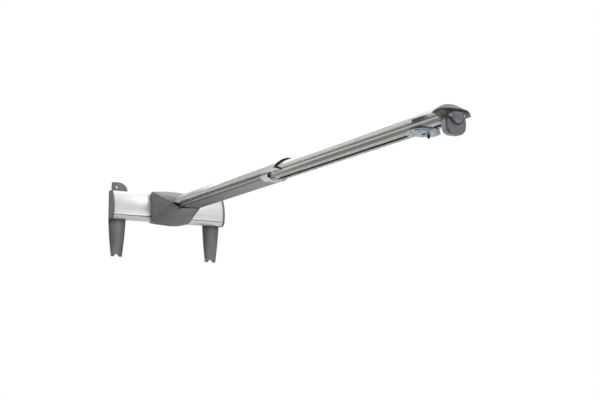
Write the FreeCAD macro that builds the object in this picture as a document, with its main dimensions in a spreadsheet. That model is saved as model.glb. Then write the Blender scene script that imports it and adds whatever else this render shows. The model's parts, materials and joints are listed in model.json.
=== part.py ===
"""Telescopic wall arm: a cross rail on two wall brackets, a hub that slides along the rail, a two-section
telescopic arm, and a swivelling carriage hung in the C-rail under the arm's free end.

Frame, in millimetres: the wall is the plane Y = 0, the arm points along -Y, the cross rail lies along X,
+Z is up, and the origin is the middle between the two upper wall-screw holes, on the wall plane. Heights
in the sizes below are measured from the middle of the cross rail, which lies fin_hole_z below the origin.
"""

import FreeCAD, Part

import os
import re

import Sketcher

SIZES = {
    # cross rail, section in the Y-Z plane
    "rail_half_length": 168, "rail_half_height": 41, "rail_foot_height": 38, "rail_back": 6,
    "rail_top_depth": 25, "rail_face_depth": 38.5, "rail_face_radius": 88, "rail_foot_depth": 22,
    "rail_foot_radius": 16, "groove_top": 26.5, "groove_foot": 29, "groove_depth": 3,
    "rail_wall": 2.4, "tslot_mouth": 4.2, "tslot_lip": 3, "tslot_half": 8.5, "tslot_depth": 5.6,
    "tslot_wall": 3,
    # end caps of the rail
    "cap_plate": 5, "cap_rim": 0.8, "cap_plug": 14, "cap_plug_near": 10, "cap_plug_far": 26,
    "cap_plug_low": 16, "cap_plug_top": 33, "cap_plug_foot": 31,
    # wall brackets
    "bracket_plate": 6, "leg_depth": 21, "leg_foot_depth": 9, "leg_foot": 142, "leg_mid": 145,
    "leg_outer": 170, "leg_half_top": 24, "leg_half_foot": 13.5, "leg_hollow": 5.5,
    "leg_hollow_top": 54, "leg_hollow_foot": 108, "leg_rim": 2, "leg_shoulder": 5,
    "fin_height": 69, "fin_inner": 116, "fin_flat": 146, "fin_outer": 163, "fin_radius": 33,
    "fin_corner": 4, "plate_shoulder": 8, "fork_half": 9, "fork_height": 5.5,
    "fin_hole_x": 148, "fin_hole_z": 55, "wall_hole": 3.5,
    # screws between the brackets and the rail
    "rail_screw_mid": 146, "rail_screw_step": 12, "screw_shank": 3, "screw_grip": 5,
    "screw_head": 5.5, "screw_head_depth": 3.2, "screw_sink": 0.2, "drive_reach": 2.9,
    "drive_depth": 2, "nut_half_length": 7, "nut_gap": 0.3, "thread_gap": 0.05, "hole_gap": 0.3,
    # hub
    "hub_half": 57.5, "hub_back": 1, "hub_side_top": 43, "hub_side_foot": 40.4, "hub_crown": 47,
    "hub_keel": 52, "hub_rear_crown": 45, "hub_rear_keel": 44, "hub_rear_half": 46,
    "sleeve_front": 45, "hub_second": 75, "hub_third": 105, "hub_fourth": 135, "mouth": 163,
    "mouth_half": 46.8, "mouth_top": 21.5, "mouth_foot": 19.5, "mouth_edge": 0.6,
    "liner_gap": 0.15, "liner_wall": 0.85, "hub_lip_gap": 0.4, "hub_window": 28,
    "neck_start": 37, "neck_end": 150, "neck_half": 30, "neck_height": 13,
    "tongue_side": 20, "tongue_front": 36, "tongue_half": 26, "tongue_wall": 2.2,
    "tongue_root": 6, "shell_gap": 0.1, "gasket_inset": 1.5,
    # screws of the hub
    "cheek_y": 105, "cheek_z": 10, "cheek_head": 3.4, "cheek_sink": 3, "cheek_length": 4,
    "cheek_drive": 1.7, "lock_x": 30, "lock_depth": 14, "grub_radius": 2.5, "grub_length": 5.2,
    "grub_sink": 0.5, "grub_drive": 1.4,
    # arm: levels are distances from the wall, heights are above the wing-tip line
    "arm_height": -3, "base_start": 166, "base_end": 769, "base_foot_end": 662,
    "collar_end": 698, "base_half": 47, "base_crown": 26.5, "base_inner_half": 43.8,
    "base_inner_tip": 1.4, "base_inner_crown": 24.3, "body_half": 28.9, "body_inner": 26.9,
    "wing_root": 29.5, "wing_drop": 3.65, "wing_inner": 2, "bead_top": 5.6, "bead_foot": 9,
    "bead_radius": 2.2, "body_foot": 10.6, "cover_side": 28.7, "cover_top": 11,
    "cover_flat": 15, "cover_foot": 16.6, "cover_wall": 1.25, "cover_edge": 2.2,
    "trim_length": 6, "trim_gap": 0.3, "collar_proud": 0.5, "clamp_half": 17.5,
    "clamp_wall": 3, "clamp_length": 14, "clamp_corner": 2.5, "clamp_screw_x": 11,
    "clamp_head": 3.6, "clamp_head_depth": 2.2, "clamp_shank": 1.9, "clamp_drive": 1.6,
    "glide_gap": 0.1, "glide_length": 30, "glide_inset": 8, "glide_x": 15, "glide_half": 5,
    "glide_foot": 10,
    "block_half": 26, "block_end": 240, "block_foot": 10, "block_top": 16, "root_bolt_x": 20,
    "root_bolt_z": 5, "root_bolt_length": 50, "root_head": 5.4, "root_head_depth": 4,
    "ext_inner": 470, "ext_end": 1447, "ext_half": 42, "ext_tip": 1.5, "ext_crown": 21.2,
    "ext_root": 27.2, "ext_root_drop": 1.55, "ext_neck": 24.9, "ext_neck_drop": 4.2,
    "ext_root_radius": 3.4, "ext_flank": 19.2, "ext_flank_drop": 13.2, "ext_flank_radius": 13,
    "ext_foot_half": 16, "ext_foot": 14.8, "slot_half": 6, "lip": 2, "slot_inner": 13,
    "slot_roof": 6, "ext_void_half": 37.4, "ext_void_tip": 2.4, "ext_void_crown": 19.1,
    "ext_void_root": 22.5, "ext_void_drop": 1, "ext_void_floor": 3.8,
    # end cap of the arm
    "visor_half": 46.5, "visor_crown": 21.8, "visor_front_crown": 6.5, "visor_depth": 25,
    "visor_peak": 22, "visor_hollow": 10.5, "visor_wall": 3, "cap_half": 24.5,
    "cap_shoulder": 10, "cap_depth": 13.5, "cap_gap": 2.5, "cap_foot": 46.5, "cap_corner": 17,
    "core_inset": 3.5, "bib_half": 22, "bib_foot": 48.5, "bib_wall": 4, "bib_corner": 19.5,
    "plug_radius": 14.5, "plug_height": 10.4, "plug_wall": 9.5, "plug_top": 2, "plug_gap": 2.5,
    "ear_radius": 5, "ear_drop": 1, "ear_gap": 0.6, "cap_screw_x": 16, "cap_screw_z": 9.5,
    "cap_shank": 2, "cap_head": 3.4, "cap_head_depth": 2.2, "cap_drive": 1.7,
    "cap_thread": 10, "cap_bore_start": 4,
    # carriage
    "stop_y": 1437, "stop_half": 3, "stop_wall": 1.6, "stop_rise": 1.7, "stop_gap": 0.6, "carriage_y": 1351,
    "slide_half": 30, "slide_bar_depth": 5.5, "slide_gap": 0.3, "slide_neck_gap": 0.2,
    "disc_top": 18, "disc_radius": 32, "disc_wall": 2.5, "disc_screw_y": 24, "sink_radius": 6,
    "bolt_radius": 3, "bolt_gap": 0.1, "plate_bolt_length": 8.5, "pivot_radius": 4,
    "pivot_head": 6.5, "pivot_head_depth": 3, "pivot_thread": 14,
    "swivel_inset": 0.5, "swivel_gap": 0.1, "bracket_top": 23.1, "bracket_wall": 2.5,
    "bracket_right": 31, "bracket_nose": 12, "bracket_left": 24, "bracket_half": 28,
    "flange_face": 32.6, "flange_wall": 2.4, "flange_half": 15, "flange_foot": 35,
    "flange_chamfer": 7, "rivet_x": 20, "rivet_y": 16, "rivet_radius": 2, "rivet_head": 3.2,
    "lock_radius": 2.2, "lock_y": 14, "lock_foot": 37, "lock_top": 11.5, "lock_gap": 0.4,
    "lock_sweep": 25, "outer_slot_low": 23, "outer_slot_high": 27, "outer_sweep": 38,
    "payload_y": 8, "payload_z": 29.5, "payload_hole": 2.25, "pin_hole": 1.6, "pin_drop": 5,
    # tools of the cuts, longer than anything they cut
    "through": 400,
}

doc = FreeCAD.newDocument("telescopic_wall_arm")
sheet = doc.addObject("Spreadsheet::Sheet", "Sizes")
for row, (alias, number) in enumerate(SIZES.items(), start=1):
    sheet.set(f"A{row}", alias)
    sheet.set(f"B{row}", str(number))
    sheet.setAlias(f"B{row}", alias)
doc.recompute()

X_AXIS = FreeCAD.Vector(1, 0, 0)
Y_AXIS = FreeCAD.Vector(0, 1, 0)
Z_AXIS = FreeCAD.Vector(0, 0, 1)
nodes = []


# ---------------------------------------------------------------- expressions, sketches and features

def expand(text):
    """Writes a size expression with every alias pointing at its cell."""
    def cell(word):
        return "Sizes." + word.group() if word.group() in SIZES else word.group()
    return re.sub(r"[a-z][a-z_]+", cell, str(text))


def value(text):
    """The number that a size expression stands for."""
    return float(sheet.evalExpression(expand(text)))


def minus(text):
    return f"-({text})"


def bow(half, rise):
    """Radius of the arc that spans 2 * half and rises by rise."""
    return f"(({half})^2 + ({rise})^2) / (2 * ({rise}))"


def bind(item, **sizes):
    for prop, text in sizes.items():
        item.setExpression(prop.replace("__", "."), expand(text))


def node(name, item):
    """Names a finished sub-part, which becomes one file, and lowers it to the frame's origin."""
    item.Label = name
    bind(item, Placement__Base__z="-fin_hole_z")
    nodes.append(item)
    return item


def new_body(name):
    return node(name, doc.addObject("PartDesign::Body", name))


def mirrored(half):
    """A closed outline from its +X half, listed from its foot to its crown; arcs keep their turn."""
    outline = list(half)
    bends = [corner[2:] for corner in half]
    for index in reversed(range(len(half))):
        bend = bends[index - 1] if index else ()
        outline.append((minus(half[index][0]), half[index][1], *bend))
    return outline


def arc_between(start, end, radius, turn):
    """The short arc from start to end; turn is 1 for anticlockwise and -1 for clockwise."""
    middle = (start + end) * 0.5
    chord = end - start
    reach = (radius ** 2 - (chord.Length / 2) ** 2) ** 0.5
    left = FreeCAD.Vector(-chord.y, chord.x, 0).normalize()
    centre = middle + left * (reach * turn)
    first, last = (start, end) if turn > 0 else (end, start)
    circle = Part.Circle(centre, Z_AXIS, radius)
    return Part.ArcOfCircle(circle, circle.parameter(first), circle.parameter(last))


def add_outline(drawing, corners):
    """Adds a closed outline: corners (x, y) or, where an arc follows, (x, y, radius, turn)."""
    points = [FreeCAD.Vector(value(corner[0]), value(corner[1]), 0) for corner in corners]
    first = drawing.GeometryCount
    ends = []
    for index, corner in enumerate(corners):
        start, end = points[index], points[(index + 1) % len(points)]
        if len(corner) == 4:
            turn = corner[3]
            drawing.addGeometry(arc_between(start, end, value(corner[2]), turn), False)
            ends.append((1, 2) if turn > 0 else (2, 1))
            rule = drawing.addConstraint(
                Sketcher.Constraint("Radius", first + index, value(corner[2])))
            drawing.setExpression(f"Constraints[{rule}]", expand(corner[2]))
        else:
            drawing.addGeometry(Part.LineSegment(start, end), False)
            ends.append((1, 2))
    for index in range(len(corners)):
        following = (index + 1) % len(corners)
        drawing.addConstraint(Sketcher.Constraint(
            "Coincident", first + index, ends[index][1], first + following, ends[following][0]))
    for index, (corner, point) in enumerate(zip(corners, points)):
        place_point(drawing, first + index, ends[index][0], corner, point)


def place_point(drawing, curve, end, corner, point):
    """Ties one end of a curve to its distances from the origin."""
    for kind, text, number, axis in (("DistanceX", corner[0], point.x, -2),
                                     ("DistanceY", corner[1], point.y, -1)):
        if abs(number) < 1e-9:
            drawing.addConstraint(Sketcher.Constraint("PointOnObject", curve, end, axis))
            continue
        rule = drawing.addConstraint(Sketcher.Constraint(kind, -1, 1, curve, end, number))
        drawing.setExpression(f"Constraints[{rule}]", expand(text))


def add_circle(drawing, centre, radius):
    point = FreeCAD.Vector(value(centre[0]), value(centre[1]), 0)
    curve = drawing.addGeometry(Part.Circle(point, Z_AXIS, value(radius)), False)
    rule = drawing.addConstraint(Sketcher.Constraint("Radius", curve, value(radius)))
    drawing.setExpression(f"Constraints[{rule}]", expand(radius))
    place_point(drawing, curve, 3, centre, point)


def sketch(body, role, level="0", outlines=(), circles=()):
    """A sketch in one of the body's origin planes, moved by level along the plane's normal."""
    plane = next(item for item in body.Origin.OriginFeatures if item.Role == role)
    drawing = body.newObject("Sketcher::SketchObject", body.Name + "_sketch")
    drawing.AttachmentSupport = [(plane, "")]
    drawing.MapMode = "FlatFace"
    bind(drawing, AttachmentOffset__Base__z=level)
    for corners in outlines:
        add_outline(drawing, corners)
    for centre, radius in circles:
        add_circle(drawing, centre, radius)
    return drawing


def pad(body, drawing, length, midplane=False, reverse=False):
    feature = body.newObject("PartDesign::Pad", body.Name + "_pad")
    feature.Profile = drawing
    feature.SideType = "Symmetric" if midplane else "One side"
    feature.Reversed = reverse
    bind(feature, Length=length)
    return feature


def pocket(body, drawing, length, midplane=False, reverse=False):
    """Cuts a sketch out of the body, and stops if nothing was cut."""
    doc.recompute()
    before = body.Shape.Volume
    feature = body.newObject("PartDesign::Pocket", body.Name + "_pocket")
    feature.Profile = drawing
    feature.SideType = "Symmetric" if midplane else "One side"
    feature.Reversed = reverse
    bind(feature, Length=length)
    doc.recompute()
    if body.Shape.Volume > before - 1e-3:
        raise SystemExit(f"a pocket of {body.Label} cuts nothing")
    return feature


def loft(body, kind, drawings):
    feature = body.newObject(f"PartDesign::{kind}Loft", body.Name + "_loft")
    feature.Profile = drawings[0]
    feature.Sections = drawings[1:]
    return feature


# ---------------------------------------------------------------- primitives

def place(item, x, y, z):
    bind(item, Placement__Base__x=x, Placement__Base__y=y, Placement__Base__z=z)
    return item


def box(x, y, z):
    """A box from its (low, high) size expressions along each axis."""
    item = doc.addObject("Part::Box", "block")
    bind(item, Length=f"({x[1]}) - ({x[0]})", Width=f"({y[1]}) - ({y[0]})",
         Height=f"({z[1]}) - ({z[0]})")
    return place(item, x[0], y[0], z[0])


def rod(radius, length, foot, axis=Z_AXIS):
    """A cylinder whose axis starts at foot."""
    item = doc.addObject("Part::Cylinder", "rod")
    item.Placement = FreeCAD.Placement(FreeCAD.Vector(), FreeCAD.Rotation(Z_AXIS, axis))
    bind(item, Radius=radius, Height=length)
    return place(item, *foot)


def taper(radii, length, foot, axis=Z_AXIS):
    item = doc.addObject("Part::Cone", "taper")
    item.Placement = FreeCAD.Placement(FreeCAD.Vector(), FreeCAD.Rotation(Z_AXIS, axis))
    bind(item, Radius1=radii[0], Radius2=radii[1], Height=length)
    return place(item, *foot)


def hexagon(across, length, foot, axis=Z_AXIS):
    """A six-sided prism, given its size across the corners."""
    item = doc.addObject("Part::Prism", "hexagon")
    item.Polygon = 6
    item.Placement = FreeCAD.Placement(FreeCAD.Vector(), FreeCAD.Rotation(Z_AXIS, axis))
    bind(item, Circumradius=across, Height=length)
    return place(item, *foot)


def fuse(*items):
    if len(items) == 1:
        return items[0]
    item = doc.addObject("Part::MultiFuse", "joined")
    item.Shapes = list(items)
    return item


def cut(base, *tools):
    item = doc.addObject("Part::Cut", "cut")
    item.Base = base
    item.Tool = fuse(*tools)
    return item


def common(first, second):
    item = doc.addObject("Part::Common", "shared")
    item.Base = first
    item.Tool = second
    return item


def group(items):
    item = doc.addObject("Part::Compound", "group")
    item.Links = list(items)
    return item


def rounded(item, radius, wanted):
    """Rounds the edges of item that wanted(edge) picks."""
    doc.recompute()
    picked = [number for number, edge in enumerate(item.Shape.Edges, start=1) if wanted(edge)]
    feature = doc.addObject("Part::Fillet", "rounded")
    feature.Base = item
    feature.Edges = [(number, value(radius), value(radius)) for number in picked]
    return feature


def runs_along(axis):
    """Picks straight edges parallel to axis."""
    def wanted(edge):
        if not isinstance(edge.Curve, Part.Line):
            return False
        return abs(edge.tangentAt(edge.FirstParameter).dot(axis)) > 0.999
    return wanted


# ---------------------------------------------------------------- cross rail

def rail_outline(gap="0", back="rail_back", groove=True):
    """The rail's section, (Y, Z), moved outwards by gap on its top, face and foot."""
    face = minus(f"rail_face_depth + {gap}")
    top = f"rail_half_height + {gap}"
    foot = minus(f"rail_foot_height + {gap}")
    corners = [
        (minus(back), top),
        (minus(f"rail_top_depth + 0.7 * {gap}"), top, f"rail_face_radius + {gap}", 1),
        (face, minus("groove_top")),
    ]
    if groove:
        bottom = "-(rail_face_depth - groove_depth)"
        corners += [(bottom, minus("groove_top")), (bottom, minus("groove_foot"))]
    corners += [
        (face, minus("groove_foot"), f"rail_foot_radius + {gap}", 1),
        (minus(f"rail_foot_depth + 0.4 * {gap}"), foot),
        (minus(back), foot),
    ]
    return corners


def cross_rail():
    body = new_body("cross_rail")
    outer = sketch(body, "YZ_Plane", outlines=[rail_outline()])
    pad(body, outer, "2 * rail_half_length", midplane=True)
    back = "-(rail_back + rail_wall)"
    boss_front = "-(rail_back + tslot_lip + tslot_depth + rail_wall)"
    boss = "tslot_half + tslot_wall"
    chamber = [
        (back, "rail_half_height - rail_wall"),
        ("-(rail_top_depth + 0.5)", "rail_half_height - rail_wall", "rail_face_radius", 1),
        ("-(rail_face_depth - rail_wall)", "-(groove_top - rail_wall)"),
        ("-(rail_face_depth - groove_depth - rail_wall)", "-(groove_top - rail_wall)"),
        ("-(rail_face_depth - groove_depth - rail_wall)", "-(groove_foot + 1)",
         "rail_foot_radius - rail_wall", 1),
        ("-(rail_foot_depth + 1)", "-(rail_foot_height - rail_wall)"),
        (back, "-(rail_foot_height - rail_wall)"),
        (back, minus(boss)), (boss_front, minus(boss)), (boss_front, boss), (back, boss),
    ]
    pocket(body, sketch(body, "YZ_Plane", outlines=[chamber]), "2 * rail_half_length", midplane=True)
    mouth = "-(rail_back + tslot_lip)"
    floor = "-(rail_back + tslot_lip + tslot_depth)"
    slot = [
        ("1 - rail_back", "tslot_mouth"), (mouth, "tslot_mouth"), (mouth, "tslot_half"),
        (floor, "tslot_half"), (floor, "-tslot_half"), (mouth, "-tslot_half"),
        (mouth, "-tslot_mouth"), ("1 - rail_back", "-tslot_mouth"),
    ]
    pocket(body, sketch(body, "YZ_Plane", outlines=[slot]), "2 * rail_half_length", midplane=True)


def rail_end_cap(name, side):
    """Plastic cap of one rail end, with two plugs that reach into the hollow rail."""
    body = new_body(name)
    level = f"{side} * (rail_half_length + cap_plate / 2)"
    rim = sketch(body, "YZ_Plane", level, [rail_outline("cap_rim", groove=False)])
    pad(body, rim, "cap_plate", midplane=True)
    near, far = "-cap_plug_near", "-cap_plug_far"
    plugs = []
    for low, high in (("cap_plug_low", "cap_plug_top"), ("-cap_plug_foot", "-cap_plug_low")):
        plugs.append([(far, low), (near, low), (near, high), (far, high)])
    drawing = sketch(body, "YZ_Plane", f"{side} * rail_half_length", plugs)
    pad(body, drawing, "cap_plug", reverse=side > 0)


def rail_screws():
    """Screws that clamp the brackets to nuts in the rail's rear slot."""
    screws, nuts = [], []
    grip = "rail_back + tslot_lip + screw_grip"
    for side in (-1, 1):
        for step in (-1, 1):
            x = f"{side} * (rail_screw_mid + {step} * rail_screw_step)"
            back = (x, "-screw_sink", "0")
            head = rod("screw_head", "screw_head_depth", back, -Y_AXIS)
            shank = rod("screw_shank", f"{grip} - screw_sink", back, -Y_AXIS)
            drive = hexagon("drive_reach", "drive_depth", (x, "0", "0"), -Y_AXIS)
            screws.append(cut(fuse(head, shank), drive))
            plate = box((f"{x} - nut_half_length", f"{x} + nut_half_length"),
                        (f"-({grip})", f"screw_grip - slide_gap - ({grip})"),
                        ("nut_gap - tslot_half", "tslot_half - nut_gap"))
            hole = rod("screw_shank + thread_gap", grip, (x, "0", "0"), -Y_AXIS)
            nuts.append(cut(plate, hole))
    node("rail_screws", group(screws))
    node("rail_slot_nuts", group(nuts))


# ---------------------------------------------------------------- wall brackets

def wall_bracket(name, side):
    """One cast bracket: a plate behind the rail, a fin above it, and a forked leg below it."""
    body = new_body(name)

    def at(corners):
        return [(f"{side} * ({corner[0]})", *corner[1:]) for corner in corners]

    root = "-rail_foot_height - 1"
    leg = [
        ("leg_mid - leg_half_foot", "-leg_foot"), ("leg_mid - leg_half_top", root),
        ("leg_outer", root), ("leg_mid + leg_half_foot", "-leg_foot"),
        ("leg_mid + fork_half", "-leg_foot", bow("fork_half", "fork_height"), side),
        ("leg_mid - fork_half", "-leg_foot"),
    ]
    plate = [
        ("leg_outer", root), ("leg_outer", "rail_half_height - plate_shoulder"),
        ("fin_outer", "rail_half_height"),
        ("fin_outer", "fin_height - fin_corner", "fin_corner", side),
        ("fin_outer - fin_corner", "fin_height"), ("fin_flat", "fin_height", "fin_radius", side),
        ("fin_inner", "rail_half_height"),
        ("leg_mid - leg_half_top", "rail_half_height - plate_shoulder"),
        ("leg_mid - leg_half_top", root),
    ]
    pad(body, sketch(body, "XZ_Plane", outlines=[at(plate)]), "bracket_plate")
    pad(body, sketch(body, "XZ_Plane", outlines=[at(leg)]), "leg_depth")
    slope = [
        ("-leg_depth - 1", root), ("-leg_depth", root), ("-leg_foot_depth", "-leg_foot"),
        ("-leg_foot_depth", "-leg_foot - 1"), ("-leg_depth - 1", "-leg_foot - 1"),
    ]
    pocket(body, sketch(body, "YZ_Plane", outlines=[slope]), "through", midplane=True)
    hollow = [
        ("leg_mid - leg_half_foot + leg_rim", "-leg_hollow_foot"),
        ("leg_mid - leg_half_top + leg_shoulder", "-leg_hollow_top"),
        ("leg_mid + leg_half_top - leg_shoulder", "-leg_hollow_top"),
        ("leg_mid + leg_half_foot - leg_rim", "-leg_hollow_foot"),
    ]
    pocket(body, sketch(body, "XZ_Plane", outlines=[at(hollow)]), "leg_hollow", reverse=True)
    steps = [f"{side} * (rail_screw_mid + {step} * rail_screw_step)" for step in (-1, 1)]
    holes = [((x, "0"), "screw_shank + hole_gap") for x in steps]
    holes.append(((f"{side} * fin_hole_x", "fin_hole_z"), "wall_hole"))
    pocket(body, sketch(body, "XZ_Plane", circles=holes), "bracket_plate", reverse=True)
    sinks = [((x, "0"), "screw_head + hole_gap") for x in steps]
    pocket(body, sketch(body, "XZ_Plane", circles=sinks), "screw_head_depth + screw_sink",
           reverse=True)


# ---------------------------------------------------------------- hub

def span_outline(half, top, foot, crown, keel):
    """Two straight sides at +-half joined by two bowed spans, in X and Z."""
    return [
        (half, top, bow(half, f"({crown}) - ({top})"), 1), (minus(half), top),
        (minus(half), foot, bow(half, f"({foot}) - ({keel})"), 1), (half, foot),
    ]


def hub_outline(depth):
    """The hub's outline at a depth from the wall: it narrows from the sleeve to the arm's section."""
    share = f"(({depth} - sleeve_front) / (mouth - sleeve_front))"
    left = f"(1 - {share})"
    half = f"hub_half * {left} + mouth_half * {share}"
    top = f"hub_side_top * {left} + (arm_height + mouth_edge) * {share}"
    foot = f"(arm_height - mouth_edge) - (hub_side_foot + arm_height - mouth_edge) * {left}^1.15"
    crown = f"mouth_top + (hub_crown - mouth_top) * {left}^1.2"
    keel = f"-mouth_foot - (hub_keel - mouth_foot) * {left}^1.6"
    return span_outline(half, top, foot, crown, keel)


def hub_casting(name, upper):
    """Half of the hollow hub: it hooks round the rail and narrows to the arm's root."""
    body = new_body(name)
    rear = sketch(body, "XZ_Plane", "hub_back", [span_outline(
        "hub_rear_half", "hub_side_top", "-hub_side_foot", "hub_rear_crown", "-hub_rear_keel")])
    front = sketch(body, "XZ_Plane", "sleeve_front", [hub_outline("sleeve_front")])
    loft(body, "Additive", [rear, front])
    depths = ("sleeve_front", "hub_second", "hub_third", "hub_fourth", "mouth")
    loft(body, "Additive", [sketch(body, "XZ_Plane", depth, [hub_outline(depth)]) for depth in depths])
    if not upper:
        add_tongue(body)
    cavity = rail_outline("liner_gap + liner_wall", "rail_back - hub_lip_gap", groove=False)
    pocket(body, sketch(body, "YZ_Plane", outlines=[cavity]), "through", midplane=True)
    window = [("0", "hub_window"), ("-rail_back - 2", "hub_window"),
              ("-rail_back - 2", "-hub_window"), ("0", "-hub_window")]
    pocket(body, sketch(body, "YZ_Plane", outlines=[window]), "through", midplane=True)
    neck = [("neck_half", "neck_height"), ("-neck_half", "neck_height"),
            ("-neck_half", "-neck_height"), ("neck_half", "-neck_height")]
    pocket(body, sketch(body, "XZ_Plane", "neck_start", [neck]), "neck_end - neck_start",
           reverse=True)
    pocket(body, sketch(body, "XZ_Plane", "neck_end - 1", circles=root_bolt_holes()),
           "mouth - neck_end + 2", reverse=True)
    if upper:
        sink_cover_screws(body)
    else:
        grubs = [((x, "-lock_depth"), "grub_radius + thread_gap") for x in ("-lock_x", "lock_x")]
        pocket(body, sketch(body, "XY_Plane", "-hub_keel - 1", circles=grubs), "hub_keel",
               reverse=True)
    low, high = ("-through", "arm_height") if upper else ("arm_height", "through")
    half_space = [("-through", low), ("through", low), ("through", high), ("-through", high)]
    pocket(body, sketch(body, "XZ_Plane", "0", [half_space]), "through", reverse=True)


def root_bolt_holes():
    return [((f"{side} * root_bolt_x", "arm_height + root_bolt_z"), "bolt_radius + hole_gap")
            for side in (-1, 1)]


def cheek(inwards):
    """Half width of the hub where the cover screws sit, less a distance inwards."""
    share = "(cheek_y - sleeve_front) / (mouth - sleeve_front)"
    return f"(hub_half + (mouth_half - hub_half) * {share} - ({inwards}))"


def sink_cover_screws(body):
    """Round sinks for the screws in the two cheeks."""
    for side in (-1, 1):
        seat = [(("-cheek_y", "arm_height + cheek_z"), "cheek_head + thread_gap")]
        drawing = sketch(body, "YZ_Plane", f"{side} * {cheek('cheek_sink')}", circles=seat)
        pocket(body, drawing, "2 * cheek_length", reverse=side > 0)


def add_tongue(body):
    """A thin lip of the lower casting that runs on under the arm."""
    top = "arm_height - cover_foot - shell_gap"
    lip = [
        ("-tongue_half", "-mouth + tongue_root"),
        ("-tongue_half", "-mouth - tongue_side", bow("tongue_half", "tongue_front - tongue_side"), 1),
        ("tongue_half", "-mouth - tongue_side"), ("tongue_half", "-mouth + tongue_root"),
    ]
    pad(body, sketch(body, "XY_Plane", f"{top} - tongue_wall", [lip]), "tongue_wall")


def hub_rail_liner():
    """A plastic liner between the rail and the hub: the hub slides on it."""
    body = new_body("hub_rail_liner")
    outer = rail_outline("liner_gap + liner_wall", "rail_back", groove=False)
    pad(body, sketch(body, "YZ_Plane", outlines=[outer]), "2 * hub_rear_half - 2", midplane=True)
    inner = rail_outline("liner_gap", "rail_back - 2", groove=False)
    pocket(body, sketch(body, "YZ_Plane", outlines=[inner]), "through", midplane=True)
    grubs = [((x, "-lock_depth"), "grub_radius + thread_gap") for x in ("-lock_x", "lock_x")]
    pocket(body, sketch(body, "XY_Plane", "-hub_keel - 1", circles=grubs), "hub_keel", reverse=True)


def hub_screws():
    """The two cover screws in the hub's cheeks, and the two lock screws under the rail."""
    cover, lock = [], []
    for side in (-1, 1):
        axis = X_AXIS * side
        seat = ("-cheek_y", "arm_height + cheek_z")
        head = rod("cheek_head", "cheek_length", (f"{side} * {cheek('cheek_sink')}", *seat), axis)
        drive = hexagon("cheek_drive", "cheek_length",
                        (f"{side} * {cheek('cheek_sink - 1.5')}", *seat), axis)
        cover.append(cut(head, drive))
        grub = rod("grub_radius", "grub_length",
                   (f"{side} * lock_x", "-lock_depth", "-hub_rear_keel + grub_sink"))
        socket = hexagon("grub_drive", "grub_length / 2",
                         (f"{side} * lock_x", "-lock_depth", "-hub_rear_keel"))
        lock.append(cut(grub, socket))
    node("hub_cover_screws", group(cover))
    node("hub_lock_screws", group(lock))


def arm_root():
    """The block inside the arm's root, its two bolts, and the gasket at the hub's mouth."""
    block = box(("-block_half", "block_half"), ("-block_end", "-base_start - shell_gap"),
                ("arm_height - block_foot", "arm_height + block_top"))
    holes, bolts = [], []
    height = "arm_height + root_bolt_z"
    for side in (-1, 1):
        x = f"{side} * root_bolt_x"
        holes.append(rod("bolt_radius + thread_gap", "root_bolt_length", (x, "-mouth", height), -Y_AXIS))
        shank = rod("bolt_radius", "root_bolt_length", (x, "-neck_end", height), -Y_AXIS)
        head = hexagon("root_head", "root_head_depth", (x, "root_head_depth - neck_end + 0.1", height),
                       -Y_AXIS)
        bolts.append(fuse(shank, head))
    node("arm_root_block", cut(block, *holes))
    node("arm_root_bolts", group(bolts))


def arm_root_gasket():
    """Rubber gasket in the gap between the hub's mouth and the arm."""
    body = new_body("arm_root_gasket")
    lens = span_outline("mouth_half - gasket_inset", "arm_height + mouth_edge",
                        "arm_height - mouth_edge", "mouth_top - 1", "0.5 - mouth_foot")
    pad(body, sketch(body, "XZ_Plane", "mouth", [lens]), "base_start - mouth")
    pocket(body, sketch(body, "XZ_Plane", "mouth", circles=root_bolt_holes()),
           "base_start - mouth + 1", reverse=True)


# ---------------------------------------------------------------- arm sections

def raised(corners):
    """Moves an arm outline from the wing-tip line to its height above the origin."""
    return [(corner[0], f"arm_height + ({corner[1]})", *corner[2:]) for corner in corners]


def base_outline():
    """Section of the outer arm tube: a crowned roof, two flat wings and two walls, open below."""
    half = [
        ("body_half", "-body_foot"), ("body_half", "-bead_foot", "bead_radius", 1),
        ("body_half", "-bead_top"), ("wing_root", "-wing_drop"),
        ("base_half", "0", bow("base_half", "base_crown"), 1),
    ]
    inner = [
        ("-body_inner", "-body_foot"), ("-body_inner", "-wing_inner"),
        ("-base_inner_half", "base_inner_tip",
         bow("base_inner_half", "base_inner_crown - base_inner_tip"), -1),
        ("base_inner_half", "base_inner_tip"), ("body_inner", "-wing_inner"),
        ("body_inner", "-body_foot"),
    ]
    return raised(mirrored(half) + inner)


def arm_base_profile():
    """The outer tube; near its free end the lower half is cut away for the collar."""
    body = new_body("arm_base_profile")
    drawing = sketch(body, "XZ_Plane", "base_start", [base_outline()])
    pad(body, drawing, "base_end - base_start")
    low, high = "-2 * body_foot", "-wing_drop - shell_gap"
    foot = raised([("-base_half", high), ("-base_half", low), ("base_half", low), ("base_half", high)])
    pocket(body, sketch(body, "XZ_Plane", "base_foot_end", [foot]), "base_end - base_foot_end",
           reverse=True)


def base_under_cover():
    """Clip-on plastic cover that closes the outer tube from below."""
    body = new_body("base_under_cover")
    edge, floor = "cover_side - cover_edge", "cover_wall - cover_foot"
    outline = [
        ("cover_side", "-cover_top"), (edge, "-cover_top"), ("cover_flat - 0.3", floor),
        ("0.3 - cover_flat", floor), (minus(edge), "-cover_top"), ("-cover_side", "-cover_top"),
        ("-cover_flat", "-cover_foot"), ("cover_flat", "-cover_foot"),
    ]
    drawing = sketch(body, "XZ_Plane", "base_start", [raised(outline)])
    pad(body, drawing, "base_foot_end - base_start")


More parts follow.
